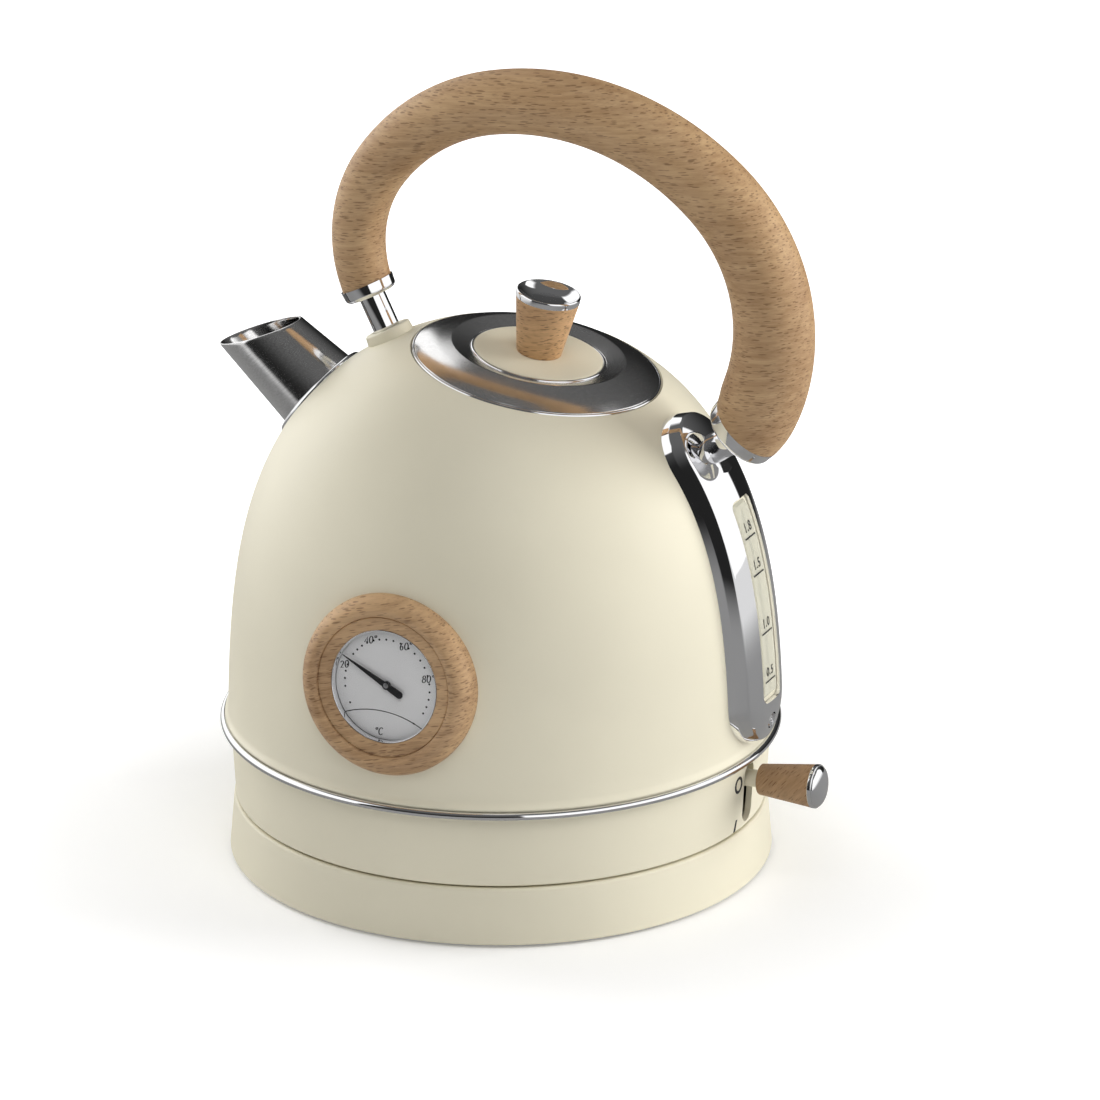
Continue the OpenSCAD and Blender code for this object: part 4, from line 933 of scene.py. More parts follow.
@dataclass
class Lid:
    """The round steel lid with its painted disc and wooden knob, in the lid's own tilted frame."""

    front: float = 29.4
    back: float = 57.2
    sink: float = 0.5
    ridge_h: float = 5.8
    ridge_r: float = 30.2
    disc_r: float = 22.5
    lip: float = 1.2
    rim_gap: float = 0.35
    knob_foot_r: float = 7.8
    knob_top_r: float = 11.05
    knob_h: float = 20.1

    @property
    def edges(self) -> tuple[Array, Array]:
        """Front and back points [x, z] of the opening, on the dome."""
        return (np.array([-self.front, float(DOME.z(self.front))]), np.array([self.back, float(DOME.z(self.back))]))

    @property
    def radius(self) -> float:
        """Radius of the opening's circle."""
        a, b = self.edges
        return float(np.linalg.norm(b - a)) / 2

    def frame(self) -> Frame:
        """Frame at the rim's centre, with Z square to the rim."""
        a, b = self.edges
        tilt = math.atan2(a[1] - b[1], b[0] - a[0])
        middle = (a + b) / 2 - self.sink * np.array([math.sin(tilt), math.cos(tilt)])
        return Frame.aimed(middle, 90 - math.degrees(tilt))

    def plate(self) -> None:
        """Makes the steel ring, the chrome rim and lip, and the painted disc."""
        at, rim, top, disc_r = self.frame(), self.radius - self.rim_gap, self.ridge_h, self.disc_r
        z0, hole = top - 2.2, disc_r + self.lip
        ring = filleted([
            (hole, z0 - 0.5), (hole, top - 1.7, 0.2), (self.ridge_r - 0.3, top - 0.05, 0.12),
            (self.ridge_r + 0.2, top, 0.12), (37.6, top - 2.25, 8.0), (rim - 0.9, 1.0, 0.5),
            (rim - 0.85, 0.55, 0.3), (rim - 2.9, -0.3), (36.0, 2.6), (self.ridge_r, 3.6),
        ], 9, True)
        turned("lid_ring", ring, at, 224, LID_STEEL, "lid_shell", close=True, sharp=30, body=Body.LID)
        edge = filleted([
            (rim - 1.0, 0.4), (rim - 0.95, 0.95, 0.3), (rim - 0.35, 0.85, 0.35), (rim, 0.2, 0.3),
            (rim - 0.1, -0.6, 0.3), (rim - 1.0, -0.8),
        ], 5, True)
        turned("lid_rim", edge, at, 224, CHROME, close=True, body=Body.LID)
        lip = filleted([
            (disc_r + 0.1, z0), (hole - 0.1, z0), (hole - 0.1, top - 1.6, 0.3), (hole - 0.55, top - 1.25, 0.3),
            (disc_r + 0.1, top - 1.4, 0.2),
        ], 5, True)
        turned("lid_lip", lip, at, 192, CHROME, "lid_trim", close=True, body=Body.LID)
        share = np.linspace(1, 0, 12)
        crown = np.stack([(disc_r - 0.6) * share, z0 + 1.5 - 0.35 * share**2], -1)
        side = filleted([(disc_r - 1, z0), (disc_r, z0, 0.2), (disc_r, z0 + 1.0, 0.35), crown[0]], 5)
        turned("lid_plate", np.concatenate([[[0, z0]], side, crown[1:]]), at, 192, CREAM, "lid_disc", body=Body.LID)

    def knob(self) -> None:
        """Makes the wooden knob and its dished chrome cap."""
        at, seat = self.frame(), self.ridge_h - 0.7
        foot, head = seat - 0.05, seat + self.knob_h
        wood = filleted([
            (0, foot), (self.knob_foot_r, foot, 0.35), (self.knob_top_r, head, 0.15), (self.knob_top_r - 1.2, head),
            (0, head - 1.8),
        ], 6)
        turned("knob_wood", wood, at, 128, KNOB_BEECH, "lid_knob", body=Body.LID)
        r, left = self.knob_top_r + 0.15, np.linspace(1, 0, 14)
        dish = np.stack([(r - 0.7) * left, head - 1.2 + 3.4 * left**3], -1)
        side = filleted([
            (0, head - 1.4), (r - 1.6, head - 0.1), (r - 0.1, head - 0.1, 0.15), (r, head + 1.9, 0.2),
            (r - 0.35, head + 2.35, 0.2), dish[0],
        ], 6)
        turned("knob_crown", np.concatenate([side, dish[1:]]), at, 128, CHROME, "knob_cap", body=Body.LID)


# ---------------------------------------------------------------- handle


@dataclass
class Handle:
    """The bent wooden handle on its two chrome posts."""

    start: tuple[float, float] = (-51.3, 202.765)
    heading: float = 107.9
    arcs: tuple[tuple[float, float], ...] = ((46.0, 53.5), (70.5, 42.3), (94.4, 54.4), (63.8, 76.2))
    r0: float = 9.05
    r1: float = 14.6
    front_spare: float = 2.3
    rear_spare: float = 3.6
    front_turn: float = 7.5
    rear_turn: float = 13.6
    front_h: float = 4.3
    rear_h: float = 5.2
    front_x: float = 41.7
    rear_x: float = 73.9
    post_r: float = 4.7
    rear_post_r: float = 4.1
    sleeve_r: float = 5.2
    sleeve_start: float = 0.36

    @property
    def length(self) -> float:
        """Length of the arcs together."""
        return sum(r * math.radians(turn) for r, turn in self.arcs)

    def walk(self, s: Array) -> tuple[Array, Array]:
        """Place and heading at distances along the centre line.

        On a clockwise arc of radius R from p with heading h, a turn t gives
        p + R (sin h - sin(h - t), cos(h - t) - cos h); both ends go on straight.
        """
        angle = np.full(len(s), math.radians(self.heading))
        at = np.array(self.start, float) + np.minimum(s, 0)[:, None] * way(angle)
        left = np.maximum(s, 0)
        for r, turn in self.arcs:
            t = np.minimum(left / r, math.radians(turn))
            at = at + r * np.stack([np.sin(angle) - np.sin(angle - t), np.cos(angle - t) - np.cos(angle)], -1)
            angle = angle - t
            left = left - t * r
        return at + left[:, None] * way(angle), angle

    @property
    def front(self) -> tuple[Array, float]:
        """End of the wood at the front: place and outward angle in degrees."""
        at, angle = self.walk(np.array([-self.front_spare, 0.0]))
        return at[0], math.degrees(angle[1]) - 180 + self.front_turn

    @property
    def rear(self) -> tuple[Array, float]:
        """End of the wood at the back: place and outward angle in degrees."""
        at, angle = self.walk(np.array([self.length + self.rear_spare, self.length]))
        return at[0], math.degrees(angle[1]) - self.rear_turn

    def post(self, foot_x: float, end: tuple[Array, float], ferrule_h: float) -> tuple[Frame, float]:
        """Frame on the dome with Z towards a ferrule's lower face, and the way there."""
        foot = np.array([foot_x, float(DOME.z(abs(foot_x)))])
        run = end[0] + ferrule_h * way(math.radians(end[1])) - foot
        return Frame.aimed(foot, math.degrees(math.atan2(run[1], run[0]))), float(np.linalg.norm(run))

    def rear_post(self) -> tuple[Frame, float]:
        """The rear post's frame and length."""
        return self.post(self.rear_x, self.rear, self.rear_h)

    def wood(self) -> bpy.types.Object:
        """Rings along the centre line; near each end they lean over until they lie in the end's plane."""
        total = self.length + self.front_spare + self.rear_spare
        near = np.array([0, 0.0008, 0.002])
        share = np.concatenate([near, np.linspace(0.004, 0.996, 220), np.array([0.998, 0.9992, 1])])
        s = -self.front_spare + total * share
        at, angle = self.walk(s)
        from_front, from_rear = s + self.front_spare, self.length + self.rear_spare - s
        lean = math.radians(self.front_turn) * (1 - smooth(0, 16, from_front))
        lean = lean - math.radians(self.rear_turn) * (1 - smooth(0, 22, from_rear))
        r = self.r0 + (self.r1 - self.r0) * s / self.length - 1.3 * np.maximum(0, 1 - from_rear / 9) ** 2
        soft = lambda d: 0.35 * (1 - np.sqrt(np.clip(1 - (1 - np.minimum(d, 0.6) / 0.6) ** 2, 0, 1)))
        r = (r - soft(from_front) - soft(from_rear))[:, None]
        t = turns(72)
        across = (r * np.cos(t))[..., None] * way(angle + lean + np.pi / 2)[:, None]
        points = np.stack([at[:, None, 0] + across[..., 0], r * np.sin(t), at[:, None, 1] + across[..., 1]], -1)
        return shell("handle_wood", points, sharp=50)

    def ferrule(self, name: str, end: tuple[Array, float], r_wood: float, r_low: float, h: float, node: str) -> None:
        """A stepped chrome collar, turned about the end's axis."""
        section = filleted([(0, -0.3), (r_wood, -0.3), (r_low, h - 1.1, 0.5), (r_low - 1.0, h, 0.6), (0, h)], 7)
        turned(name, section, Frame.aimed(*end), 128, CHROME, node)

    def stem(self, name: str, at: Frame, r: float, low: float, high: float, soft: float, node: str) -> None:
        """A straight chrome tube with a soft lower edge."""
        section = filleted([(0, low), (r, low, soft), (r, high), (0, high)], 4)
        turned(name, section, at, 96, CHROME, node)

    def build(self) -> None:
        """Makes the wood, collars, posts, the rear sleeve and the painted boss at the front."""
        dress(self.wood(), HANDLE_BEECH, "handle_grip")
        self.ferrule("front_collar", self.front, 9.6, 9.3, self.front_h, "front_ferrule")
        self.ferrule("rear_collar", self.rear, 13.4, 13.0, self.rear_h, "rear_ferrule")
        at, long = self.post(-self.front_x, self.front, self.front_h)
        self.stem("front_stem", at, self.post_r, 2.8, long + 1.6, 0.2, "front_post")
        boss = filleted([
            (0, -4.5), (8.7, -4.5), (8.5, 0, 0.8), (8.15, 3.2, 0.8), (5.4, 3.25, 0.3), (5.2, 2.9, 0.2), (0, 2.9)
        ], 6)
        turned("front_seat", boss, at, 96, CREAM, "front_boss")
        at, long = self.rear_post()
        self.stem("rear_stem", at, self.rear_post_r, -1.0, long + 1.6, 0.2, "rear_post")
        self.stem("rear_barrel", at, self.sleeve_r, long * self.sleeve_start, long + 1.8, 0.3, "rear_sleeve")


# ---------------------------------------------------------------- rear housing


@dataclass
class Housing:
    """The chrome housing over the back of the dome, with the water window and its screw."""

    half: float = 17.2
    crown_h: float = 8.4
    shoulder: float = 15.0
    crown_rise: float = 3.2
    crown_edge: float = 13.2
    side_h: float = 1.3
    low: float = 70.9
    head: float = 154.3
    flat_r: float = 9.4
    flat_depth: float = 0.45
    well_r: float = 2.9
    well_depth: float = 3.4
    window_half: float = 7.3
    window_low: float = 69.6
    window_high: float = 140.1
    corner_less: float = 4.4
    lens_half: float = 5.9
    lens_h: float = 7.2
    frame_h: float = 6.4
    screw_z: float = 62.4
    seam: float = 0.003
    marks: tuple[tuple[float, str], ...] = ((126.6, "1.8"), (114.3, "1.5"), (94.1, "1.0"), (77.1, "0.5"))

    def over(self, along: Array, half: Array, height: Array, z: Array) -> Array:
        """Points over the dome's back line: along its tangent at z, half to the side and a height above it."""
        n, c = DOME.tilt(z), DOME.point(z, height)
        return np.stack([c[..., 0] - along * np.sin(n), half + 0 * z, c[..., 1] + along * np.cos(n)], -1)

    def loop(self, w: float, h: float) -> Array:
        """One closed outline at half width w and height h: straight sides and round ends of radius w."""
        cap, rows = w * way(np.radians(np.linspace(90, -90, 81))[1:-1]), np.linspace(self.low, self.head, 96)
        side = self.over(0 * rows, np.full(96, w), np.full(96, h), rows)
        top, end = (
            self.over(k * cap[:, 0], k * cap[:, 1], np.full(79, h), np.full(79, z))
            for k, z in ((1, self.head), (-1, self.low))
        )
        return np.concatenate([side, top, side[::-1] * [1, -1, 1], end])

    def crown(self, w: Array) -> Array:
        """Height of the top face at a half width: a shallow parabola down to the shoulder."""
        return self.crown_h - self.crown_rise * (np.asarray(w) / self.shoulder) ** 2

    def window_frame(self) -> tuple[Frame, float, float]:
        """Frame at the window's middle, with Z outwards, and the ends along it."""
        place = DOME.back_frame((self.window_low + self.window_high) / 2, 3.0)
        up = -place.x[[0, 2]]
        ends = (float((DOME.point(np.array(z), np.array(3.0)) - place.origin[[0, 2]]) @ up)
                for z in (self.window_low, self.window_high))
        return place, *ends

    def slot(self, half: float) -> Array:
        """The window's outline in its frame at a half width: a rectangle whose corners are rounded."""
        _, low, high = self.window_frame()
        r, grow = half - self.corner_less, half - self.window_half
        x0, x1, y = -low + grow - r, -high - grow + r, half - r
        t = np.linspace(0, 90, 8)
        corners = ((x0, y, 90), (x0, -y, 0), (x1, -y, -90), (x1, y, -180))
        return np.concatenate([[cx, cy] + r * way(np.radians(s - t)) for cx, cy, s in corners])

    def cover(self) -> bpy.types.Object:
        """The housing's skin in nested outlines, less the window, the post's flat and the screw's hole."""
        edge, shoulder = self.crown_edge, self.shoulder
        section = filleted([
            (self.half + 0.7, -5.0), (self.half - 0.55, self.side_h, 0.3),
            (shoulder, float(self.crown(shoulder)), 0.7), (edge, float(self.crown(edge))),
        ], 8)
        inwards = np.append(np.linspace(edge, 0.6, 18), self.seam)
        section = np.concatenate([section[:-1], np.stack([inwards, self.crown(inwards)], -1)])
        made = shell("rear_cover", np.stack([self.loop(w, h) for w, h in section]))
        post, _ = Handle().rear_post()
        screw = DOME.back_frame(self.screw_z)
        carve(made, [
            prism("window_cutter", self.slot(self.window_half), -12, 18, self.window_frame()[0]),
            revolve("recess_cutter", pin(self.flat_r, self.crown_h - self.flat_depth, 30.0), post, 96),
            revolve("screw_cutter", pin(self.well_r, self.crown_h - self.well_depth, 20.0), screw, 48),
        ], 10)
        return made

    def strip(self, name: str, outline: Array, bevel: float, low: float, high: float) -> bpy.types.Object:
        """A bent block under an outline of the window frame: each point is landed at a height over the back line.

        Args:
            name: the piece's name.
            outline: the block's outline in the window's frame.
            bevel: how far the top edge is drawn in and down.
            low: height of its underside over the dome's line.
            high: height of its top.
        """
        centre = np.array([outline[:, 0].mean(), 0.0])
        drawn = centre + (outline - centre) * (1 - 2 * bevel / np.ptp(outline, axis=0))
        shrink = np.append(np.linspace(1, 0.1, 8)[1:], 0.002)
        under = [self._lay(centre + (outline - centre) * [1, k], low) for k in shrink[::-1]]
        rows = [self._lay(o, h) for o, h in ((outline, low), (outline, high - bevel), (drawn, high))]
        rows += [self._lay(centre + (drawn - centre) * [1, k], high) for k in shrink]
        return shell(name, np.stack(under + rows), sharp=28)

    def _lay(self, outline: Array, height: float) -> Array:
        """Lands outline points on the dome's back line raised by a height, ignoring their sideways place."""
        place = self.window_frame()[0]
        flat = place.place(raised(outline, 0))
        return DOME.land(flat * [1, 0, 1], place.z, np.full(len(flat), height)) + flat * [0, 1, 0]

    def long_slot(self, half: float) -> Array:
        """The slot's outline with points added along its two long sides."""
        base = self.slot(half)
        closed = np.concatenate([base, base[:1]])
        run = np.concatenate([[0], np.cumsum(np.linalg.norm(np.diff(closed, axis=0), axis=1))])
        s = np.unique(np.round(np.concatenate([run[:-1], np.linspace(0, run[-1], 120, endpoint=False)]), 6))
        return np.stack([np.interp(s, run, closed[:, k]) for k in (0, 1)], -1)

    def numeral(self, text: str, z: float) -> list[bpy.types.Object]:
        """A level mark: its number as thin letters and a line under it, laid over the lens."""
        curve = bpy.data.curves.new("level_text", "FONT")
        curve.body, curve.size, curve.align_x, curve.align_y = text, 4.4, "CENTER", "BOTTOM"
        curve.resolution_u, curve.space_character, curve.offset = 3, 1.12, 0.08
        held = linked(bpy.data.objects.new("level_text", curve))
        bpy.context.view_layer.update()
        flat = bpy.data.meshes.new_from_object(held.evaluated_get(bpy.context.evaluated_depsgraph_get()))
        bpy.data.objects.remove(held)
        co = np.empty(len(flat.vertices) * 3)
        flat.vertices.foreach_get("co", co)
        lay = lambda p, up: self.over(0 * p[:, 0], p[:, 0], np.full(len(p), self.lens_h + 0.09), z + up + p[:, 1])
        flat.vertices.foreach_set("co", (lay(co.reshape(-1, 3), 0.9) * MM).ravel())
        flat.update()
        line = np.array([[-1, -1], [1, -1], [1, 1], [-1, 1]]) * [4.3, 0.28]
        bar = make_mesh("level_line", lay(line, 0.0), [np.array([[0, 1, 2, 3]])])
        return [linked(bpy.data.objects.new("level_number", flat)), bar]

    def build(self) -> None:
        """Makes the cover, the window's frame, lens, marks and the screw."""
        dress(self.cover(), CHROME, "rear_housing")
        rim = self.strip("window_surround", self.long_slot(self.window_half - 0.06), 0.15, 0.25, self.frame_h)
        dress(rim, CREAM_PLASTIC, "window_frame")
        lens = self.strip("window_block", self.long_slot(self.lens_half), 1.0, self.frame_h - 0.6, self.lens_h)
        dress(lens, WINDOW, "window_lens")
        dress(joined("level_marks", [piece for z, text in self.marks for piece in self.numeral(text, z)]), INK)
        h = self.crown_h
        head = filleted([
            (0, h - 3.3), (2.75, h - 3.3), (2.75, h - 2.2, 0.4), (1.9, h - 1.2, 0.5), (0.9, h - 1.1, 0.2),
            (0.7, h - 1.9, 0.1), (0, h - 1.9),
        ], 5)
        turned("cover_rivet", head, DOME.back_frame(self.screw_z), 48, CHROME, "housing_screw")


# ---------------------------------------------------------------- dial


class Numerals:
    """Slanted book figures drawn as pen strokes: thick down the page and thin across it."""

    slant: float = 0.22

    @staticmethod
    def strokes(figure: str) -> list[Array]:
        """Centre lines of a figure in a box one high and 0.6 wide."""
        def arc(cx: float, cy: float, rx: float, ry: float, start: float, end: float, count: int) -> Array:
            """Points of an ellipse's arc between two angles in degrees."""
            return [cx, cy] + [rx, ry] * way(np.radians(np.linspace(start, end, count)))

        return {
            "0": [arc(0.3, 0.5, 0.25, 0.47, 0, 360, 40)],
            "2": [np.concatenate([arc(0.29, 0.73, 0.2, 0.22, 165, -35, 22), [[0.1, 0.06], [0.5, 0.06]]])],
            "4": [np.array([[0.54, 0.27], [0.04, 0.27], [0.42, 0.94], [0.42, 0.02]])],
            "6": [arc(0.3, 0.3, 0.19, 0.26, 0, 360, 34), arc(0.48, 0.32, 0.37, 0.62, 178, 98, 18)],
            "8": [arc(0.3, 0.73, 0.18, 0.22, 0, 360, 30), arc(0.3, 0.27, 0.23, 0.25, 0, 360, 34)],
            "o": [arc(0.3, 0.88, 0.13, 0.13, 0, 360, 22)],
            "C": [arc(0.34, 0.5, 0.3, 0.48, 42, 318, 34)],
        }[figure]

    def ribbon(self, line: Array, size: float) -> Array:
        """Left and right edges of a pen stroke, whose width grows with how steep it runs."""
        run = unit(np.gradient(line, axis=0))
        side = np.stack([-run[:, 1], run[:, 0]], -1) * (0.042 + 0.045 * np.abs(run[:, 1:]) ** 1.5)
        return np.stack([line + side, line - side]) @ np.array([[1, 0], [self.slant, 1]]) * size


@dataclass
class Dial:
    """The thermometer: wooden ring, thin bezel, pane, printed face and needle, in the dial's own frame."""

    ring_r: float = 31.7
    land_r: float = 24.3
    ring_h: float = 4.2
    root: float = -9.0
    window_r: float = 19.4
    face_z: float = -0.98
    rest: float = 153.0
    line_at: tuple[float, float] = (-2.83, -43.8)
    line_r: float = 34.49
    dot_ring: float = 15.8
    dot_r: float = 0.38
    dots: tuple[float, ...] = (
        211, 189.8, 179.7, 170.4, 161.7, 145.5, 137.2, 128.8, 120.5, 111, 102.9, 93.5, 83.9, 73.8, 62, 52.1, 41.2,
        30.9, 20.3, 9.7, -0.5, -10.1, -20.1, -29.7, -49,
    )
    figure_h: float = 2.55
    figures: tuple[tuple[str, float, float, float], ...] = (
        ("20", -16.14, 4.9, 14.0), ("40o", -7.44, 14.74, 11.0), ("60o", 5.71, 14.37, 11.0), ("80o", 14.45, 4.28, 9.0),
        ("oC", -1.65, -16.5, 9.0),
    )

    @staticmethod
    def frame() -> Frame:
        """Frame on the dome's front, with Z outwards and Y up."""
        z = DOME.low + 42.5
        n = float(DOME.tilt(z))
        out, right = np.array([0, -math.cos(n), math.sin(n)]), np.array([1.0, 0, 0])
        return Frame(np.array([0, -float(DOME.r(z)), z]), right, np.cross(out, right), out)

    def ring(self) -> Array:
        """The turned ring's section: a flat inner land, a fine groove and a full outer roll."""
        h, r, land, w, root = self.ring_h, self.ring_r, self.land_r, self.window_r, self.root
        roll = filleted([
            (land, h - 1.95), (land + 0.22, h - 1.0, 0.2), (land + 1.3, h - 0.2, 0.9), (r - 4.3, h + 0.1, 2.6),
            (r - 1.6, h * 0.55, 2.0), (r - 0.1, -0.8, 1.6), (r, root),
        ], 8)
        inner = filleted([
            (w + 1.0, root), (w + 0.95, h - 3.6), (w + 0.35, h - 3.4), (w + 0.3, h - 2.3, 0.3),
            (w + 1.1, h - 2.0, 0.6), (land - 0.2, h - 1.6, 0.15), (land, h - 1.95),
        ], 6)[:-1]
        return np.concatenate([inner, roll])

    def printing(self) -> bpy.types.Object:
        """Dots, figures and the lower line as thin ink on the face."""
        lay = lambda p: self.frame().place(raised(p.reshape(-1, 2), self.face_z + 0.03))
        count, pen = 14, Numerals()
        spots = self.dot_ring * way(np.radians(np.array(self.dots)))[:, None] + self.dot_r * way(turns(count))
        printed = [make_mesh("dots", lay(spots), [np.arange(len(self.dots) * count).reshape(-1, count)])]
        for text, x, y, lean in self.figures:
            c, n = way(math.radians(lean))
            for figure, step in zip(text, (-0.93, -0.34) if text[0] == "o" else (-0.65, 0.05, 0.72)):
                for line in pen.strokes(figure):
                    edge = pen.ribbon(line + [step, -0.5], self.figure_h) @ np.array([[c, n], [-n, c]]) + [x, y]
                    grid = lattice(2, edge.shape[1], False, False)
                    printed.append(make_mesh("stroke", lay(edge), [grid[:, ::-1]]))
        spoke = way(np.radians(np.linspace(56.0, 118.0, 90)))
        line = np.stack([self.line_at + (self.line_r + d) * spoke for d in (-0.16, 0.16)])
        line = line[:, np.linalg.norm(line[1], axis=1) < self.window_r - 0.3]
        printed.append(make_mesh("arc", lay(line), [lattice(2, line.shape[1], False, False)]))
        return joined("dial_print", printed)

    def needle(self) -> bpy.types.Object:
        """A tapering pointer with a round-ended tail, three tenths thick."""
        tail = [-5.6, 0] + 1.3 * way(np.radians(np.linspace(90, 270, 15)))
        upper = np.array([[18.6, 0.1], [9.0, 0.62], [1.6, 0.95], [0, 1.0], [-3.0, 1.25]])
        c, s = way(math.radians(self.rest))
        flat = np.concatenate([upper, tail, upper[::-1] * [1, -1]]) @ np.array([[c, s], [-s, c]])
        rows = np.stack([raised(flat, z) for z in (-0.15, -0.1, 0.12, 0.15)])
        return shell("pointer", self.frame().place(rows), sharp=25)

    def build(self) -> None:
        """Makes the ring, bezel, cup, face, print, needle, hub and pane."""
        at, w, root = self.frame(), self.window_r, self.root
        turned("dial_wood", self.ring(), at, 224, DIAL_BEECH, "dial_ring", close=True, sharp=45)
        bezel = filleted([
            (w - 0.35, -0.4), (w + 0.2, -0.4), (w + 0.22, 1.75, 0.1), (w + 0.05, 1.85, 0.1), (w - 0.1, 1.7, 0.1),
            (w - 0.35, 0.2, 0.1),
        ], 5, True)
        turned("dial_rim", bezel, at, 192, CHROME, "dial_bezel", close=True)
        cup = np.array([[3.2, root], [w + 0.6, root], [w + 0.6, -0.8], [w - 0.2, -0.8], [w - 0.2, -8], [3.2, -8]])
        turned("dial_can", cup, at, 128, STEEL, "dial_cup", close=True)
        turned("dial_plate", pin(w - 0.3, -1.5, self.face_z), at, 160, DIAL_ENAMEL, "dial_face")
        dress(self.printing(), INK)
        hub = filleted([(0, -0.9), (1.45, -0.9), (1.45, 0.28, 0.15), (1.0, 0.3, 0.1), (0.95, 0.2), (0, 0.2)], 4)
        pointer = joined("pointer", [self.needle(), revolve("pointer_hub", hub, at, 48)])
        dress(pointer, INK, "dial_needle", body=Body.NEEDLE)
        cap = filleted([(0, 0.1), (0.92, 0.1), (0.92, 0.32, 0.1), (0, 0.36)], 4)
        turned("pointer_pin", cap, at, 40, ZINC, body=Body.NEEDLE)
        pane = filleted([(0, 0.95), (w - 0.4, 0.95), (w - 0.4, 1.5, 0.2), (w - 0.8, 1.6, 0.3), (0, 1.62)], 5)
        turned("dial_window", pane, at, 160, PANE, "dial_glass")


# ---------------------------------------------------------------- lever


@dataclass
class Lever:
    """The on/off lever's wooden grip and chrome end cap, about the lever's own axis."""

    pivot: tuple[float, float] = (70.0, 39.0)
    rise: float = 2.0
    neck: float = 28.9
    grip: float = 20.1
    r0: float = 5.4
    r1: float = 7.6
    dome_h: float = 2.3

    def build(self) -> None:
        """Turns the grip and its cap."""
        at, end = Frame.aimed(self.pivot, self.rise), self.neck + self.grip
        wood = filleted([(0, self.neck), (self.r0, self.neck, 0.6), (self.r1, end, 0.1), (0, end)], 6)
        turned("lever_wood", wood, at, 112, LEVER_BEECH, "lever_grip", body=Body.LEVER)
        r = self.r1 + 0.1
        dome = [0, end + 1.4] + [r - 0.5, self.dome_h] * way(np.linspace(0, np.pi / 2, 16))
        side = filleted([(0, end - 0.1), (r, end - 0.1, 0.2), (r, end + 1.3, 0.3), dome[0]], 5)
        cap = np.concatenate([side, dome[1:-1], [[0, end + 1.4 + self.dome_h]]])
        turned("lever_end", cap, at, 112, CHROME, "lever_cap", body=Body.LEVER)


# ---------------------------------------------------------------- studio


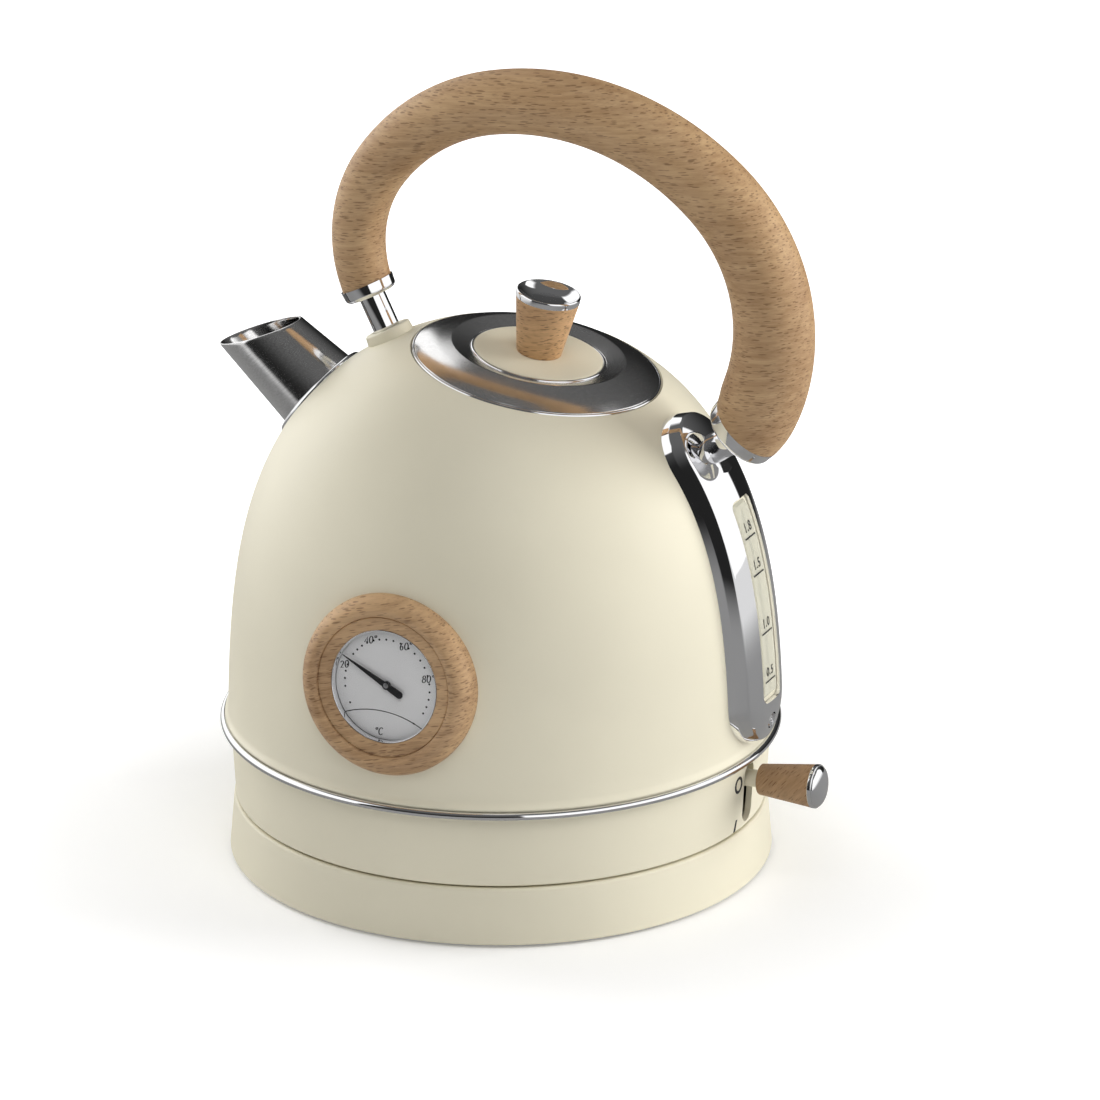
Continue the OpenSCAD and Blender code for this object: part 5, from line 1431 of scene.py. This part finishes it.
@dataclass
class Studio:
    """Floor, soft lights, the room that the metal reflects, and the camera."""

    azimuth: float = 24.5
    elevation: float = 20.2
    distance: float = 2.3555
    aim_z: float = 0.10966
    yaw: float = -0.0078
    lens: float = 221.3
    room_r: float = 3.4
    floor_half: float = 6.0
    lamp_size: float = 1.1
    lamps: tuple[tuple[str, float, float, float, float], ...] = (
        ("key", 1.7, 0.0, 0.55, 26.2), ("rim", -1.3, 1.1, 0.6, 21.8), ("fill", -1.7, 0.0, 0.5, 3.6),
        ("front", 0.0, -1.0, 1.4, 10.3), ("sky", 0.0, 0.05, 1.8, 5.1),
    )

    @staticmethod
    def sides(s: Shader, at: Val) -> Val:
        """1 where a point lies towards a side panel: |x| is large against the distance from the Z axis."""
        x, y = (s.node("ShaderNodeSeparateXYZ", None, {0: at}, axis) for axis in "XY")
        flat = (x * x + y * y) ** 0.5
        return (abs(x) - flat * 0.53).band(0.0, 0.12)

    @staticmethod
    def stand(held: bpy.types.Object, axes: Array, at: Array) -> None:
        """Puts an object into the scene, turned to three axes at a place in metres."""
        matrix = np.eye(4)
        matrix[:3, :3], matrix[:3, 3] = axes, at
        held.matrix_world = Matrix(matrix.tolist())
        linked(held)

    def camera(self) -> None:
        """A long lens from the left front, turned a little to one side to set the kettle off centre."""
        (ca, sa), (ce, se) = way(math.radians(self.azimuth)), way(math.radians(self.elevation))
        back, right = np.array([sa * ce, -ca * ce, se]), np.array([ca, sa, 0.0])
        c, s = way(self.yaw)
        axes = np.array([[c, -s, 0], [s, c, 0], [0, 0, 1]]) @ np.stack([right, np.cross(right, -back), back], 1)
        data = bpy.data.cameras.new("camera")
        data.lens, data.sensor_width, data.sensor_fit = self.lens, 36.0, "AUTO"
        data.clip_start, data.clip_end = 0.05, 50.0
        held = bpy.data.objects.new("camera", data)
        self.stand(held, axes, back * self.distance + [0, 0, self.aim_z])
        bpy.context.scene.camera = held

    def floor(self) -> None:
        """A wide pale floor that shows white far off, with a painted shadow round the kettle where its glow is
        dimmer, as well as the kettle's own soft shadow.
        """
        corners = raised(np.array([[-1, -1], [1, -1], [1, 1], [-1, 1]]) * self.floor_half / MM, -0.05)
        made = make_mesh("floor", corners, [np.array([[0, 1, 2, 3]])])
        s = Shader("pale_floor")
        at = s.node("ShaderNodeTexCoord", output="Object")
        reach = s.node("ShaderNodeVectorMath", {"operation": "LENGTH"}, {0: at}, "Value")
        seen, mirrored = s.ray("Camera").larger(s.ray("Transmission")), s.ray("Glossy")
        # Painted shadow: for camera rays the floor's glow is 0.2 within 0.1 m of the kettle and rises to 0.75 by 0.3
        # m, then to full white by 2 m, so the floor is painted darker round the kettle.
        near = s.greys(reach.band(0.1, 0.3), 0.2, 0.75)
        bright = s.mix(reach.band(1.2, 2.0), near, (1.0,) * 3)
        walls, beyond = s.greys(self.sides(s, at), 0.018, 0.8), reach.band(0.4, 0.75)
        paper = s.greys(s.noise(s.place(), 30.0, 3.0), 0.9, 0.92)
        s.surface({
            "Base Color": s.mix(mirrored, paper, s.greys(beyond, 0.34, 0.0)), "Roughness": 0.5,
            "Specular IOR Level": 0.0, "Emission Strength": 1.0,
            "Emission Color": s.mix(mirrored, s.mix(seen, (0.14,) * 3, bright), s.mix(beyond, (0.0,) * 3, walls)),
        })
        made.data.materials.append(s.owner)

    def world(self) -> None:
        """White behind everything that is looked at or mirrored, and nothing for the other rays."""
        s = Shader("studio_air", True)
        seen = s.ray("Camera").larger(s.ray("Transmission")).larger(s.ray("Glossy"))
        dim, white = (
            s.node("ShaderNodeBackground", None, {"Color": (1, 1, 1, 1), "Strength": strength})
            for strength in (0.0, 1.0)
        )
        bpy.context.scene.world = s.close(s.node("ShaderNodeMixShader", None, {0: seen, 1: dim, 2: white}))

    def room(self) -> None:
        """A round grey room with bright panels, seen only in reflections.

        The wall is part of a ball round the kettle. It is dark near the floor and grey overhead, with one tall
        bright panel on each side.
        """
        arch = way(np.linspace(-0.02, 1, 24)[:-1] * np.pi / 2) * self.room_r / MM
        rows = spun(arch, turns(96))
        made = make_mesh("mirror_room", rows.reshape(-1, 3), [lattice(len(rows), 96, False, True)[:, ::-1]])
        s = Shader("mirror_panels")
        at = s.node("ShaderNodeTexCoord", output="Object")
        rise = s.node("ShaderNodeSeparateXYZ", None, {0: at}, "Z") * (1 / self.room_r)
        panels = self.sides(s, at) * (1 - rise.band(0.72, 0.82))
        air = s.greys(rise.band(0.1, 0.95), 0.018, 0.13)
        glow = {"Color": s.mix(panels, air, (1.2,) * 3), "Strength": 1.0}
        made.data.materials.append(s.close(s.node("ShaderNodeEmission", None, glow)))
        made.visible_camera = made.visible_diffuse = made.visible_transmission = made.visible_shadow = False

    def lamp(self, name: str, at: Array, power: float) -> None:
        """A square soft light aimed at the kettle's middle, kept out of the picture and of mirrors."""
        data = bpy.data.lights.new(name, "AREA")
        data.shape, data.size, data.energy = "SQUARE", self.lamp_size, power
        held = bpy.data.objects.new(name, data)
        back = unit(at - [0, 0, 0.12])
        right = unit(np.cross([0, 0, 1.0], back))
        held.visible_camera = held.visible_glossy = False
        self.stand(held, np.stack([right, np.cross(back, right), back], 1), at)

    def build(self) -> None:
        """Sets the whole stage."""
        bpy.context.scene.view_settings.view_transform = "Standard"
        self.camera()
        self.floor()
        self.world()
        self.room()
        c, s = way(math.radians(self.azimuth))
        axes = np.array([[c, s, 0], [-s, c, 0], [0, 0, 1]])
        for name, *place, power in self.lamps:
            self.lamp(name, place @ axes, power)


def main() -> None:
    """Builds every sub-assembly, then the studio."""
    logging.basicConfig(level=logging.INFO, format="%(name)s %(message)s")
    lid = Lid()
    PowerBase().build()
    Skirt().build()
    Vessel().build(lid)
    lid.plate()
    lid.knob()
    Handle().build()
    Housing().build()
    Dial().build()
    Lever().build()
    for finish, nodes in KEPT.items():
        keep(finish, nodes)
    Studio().build()


if __name__ == "__main__":
    main()
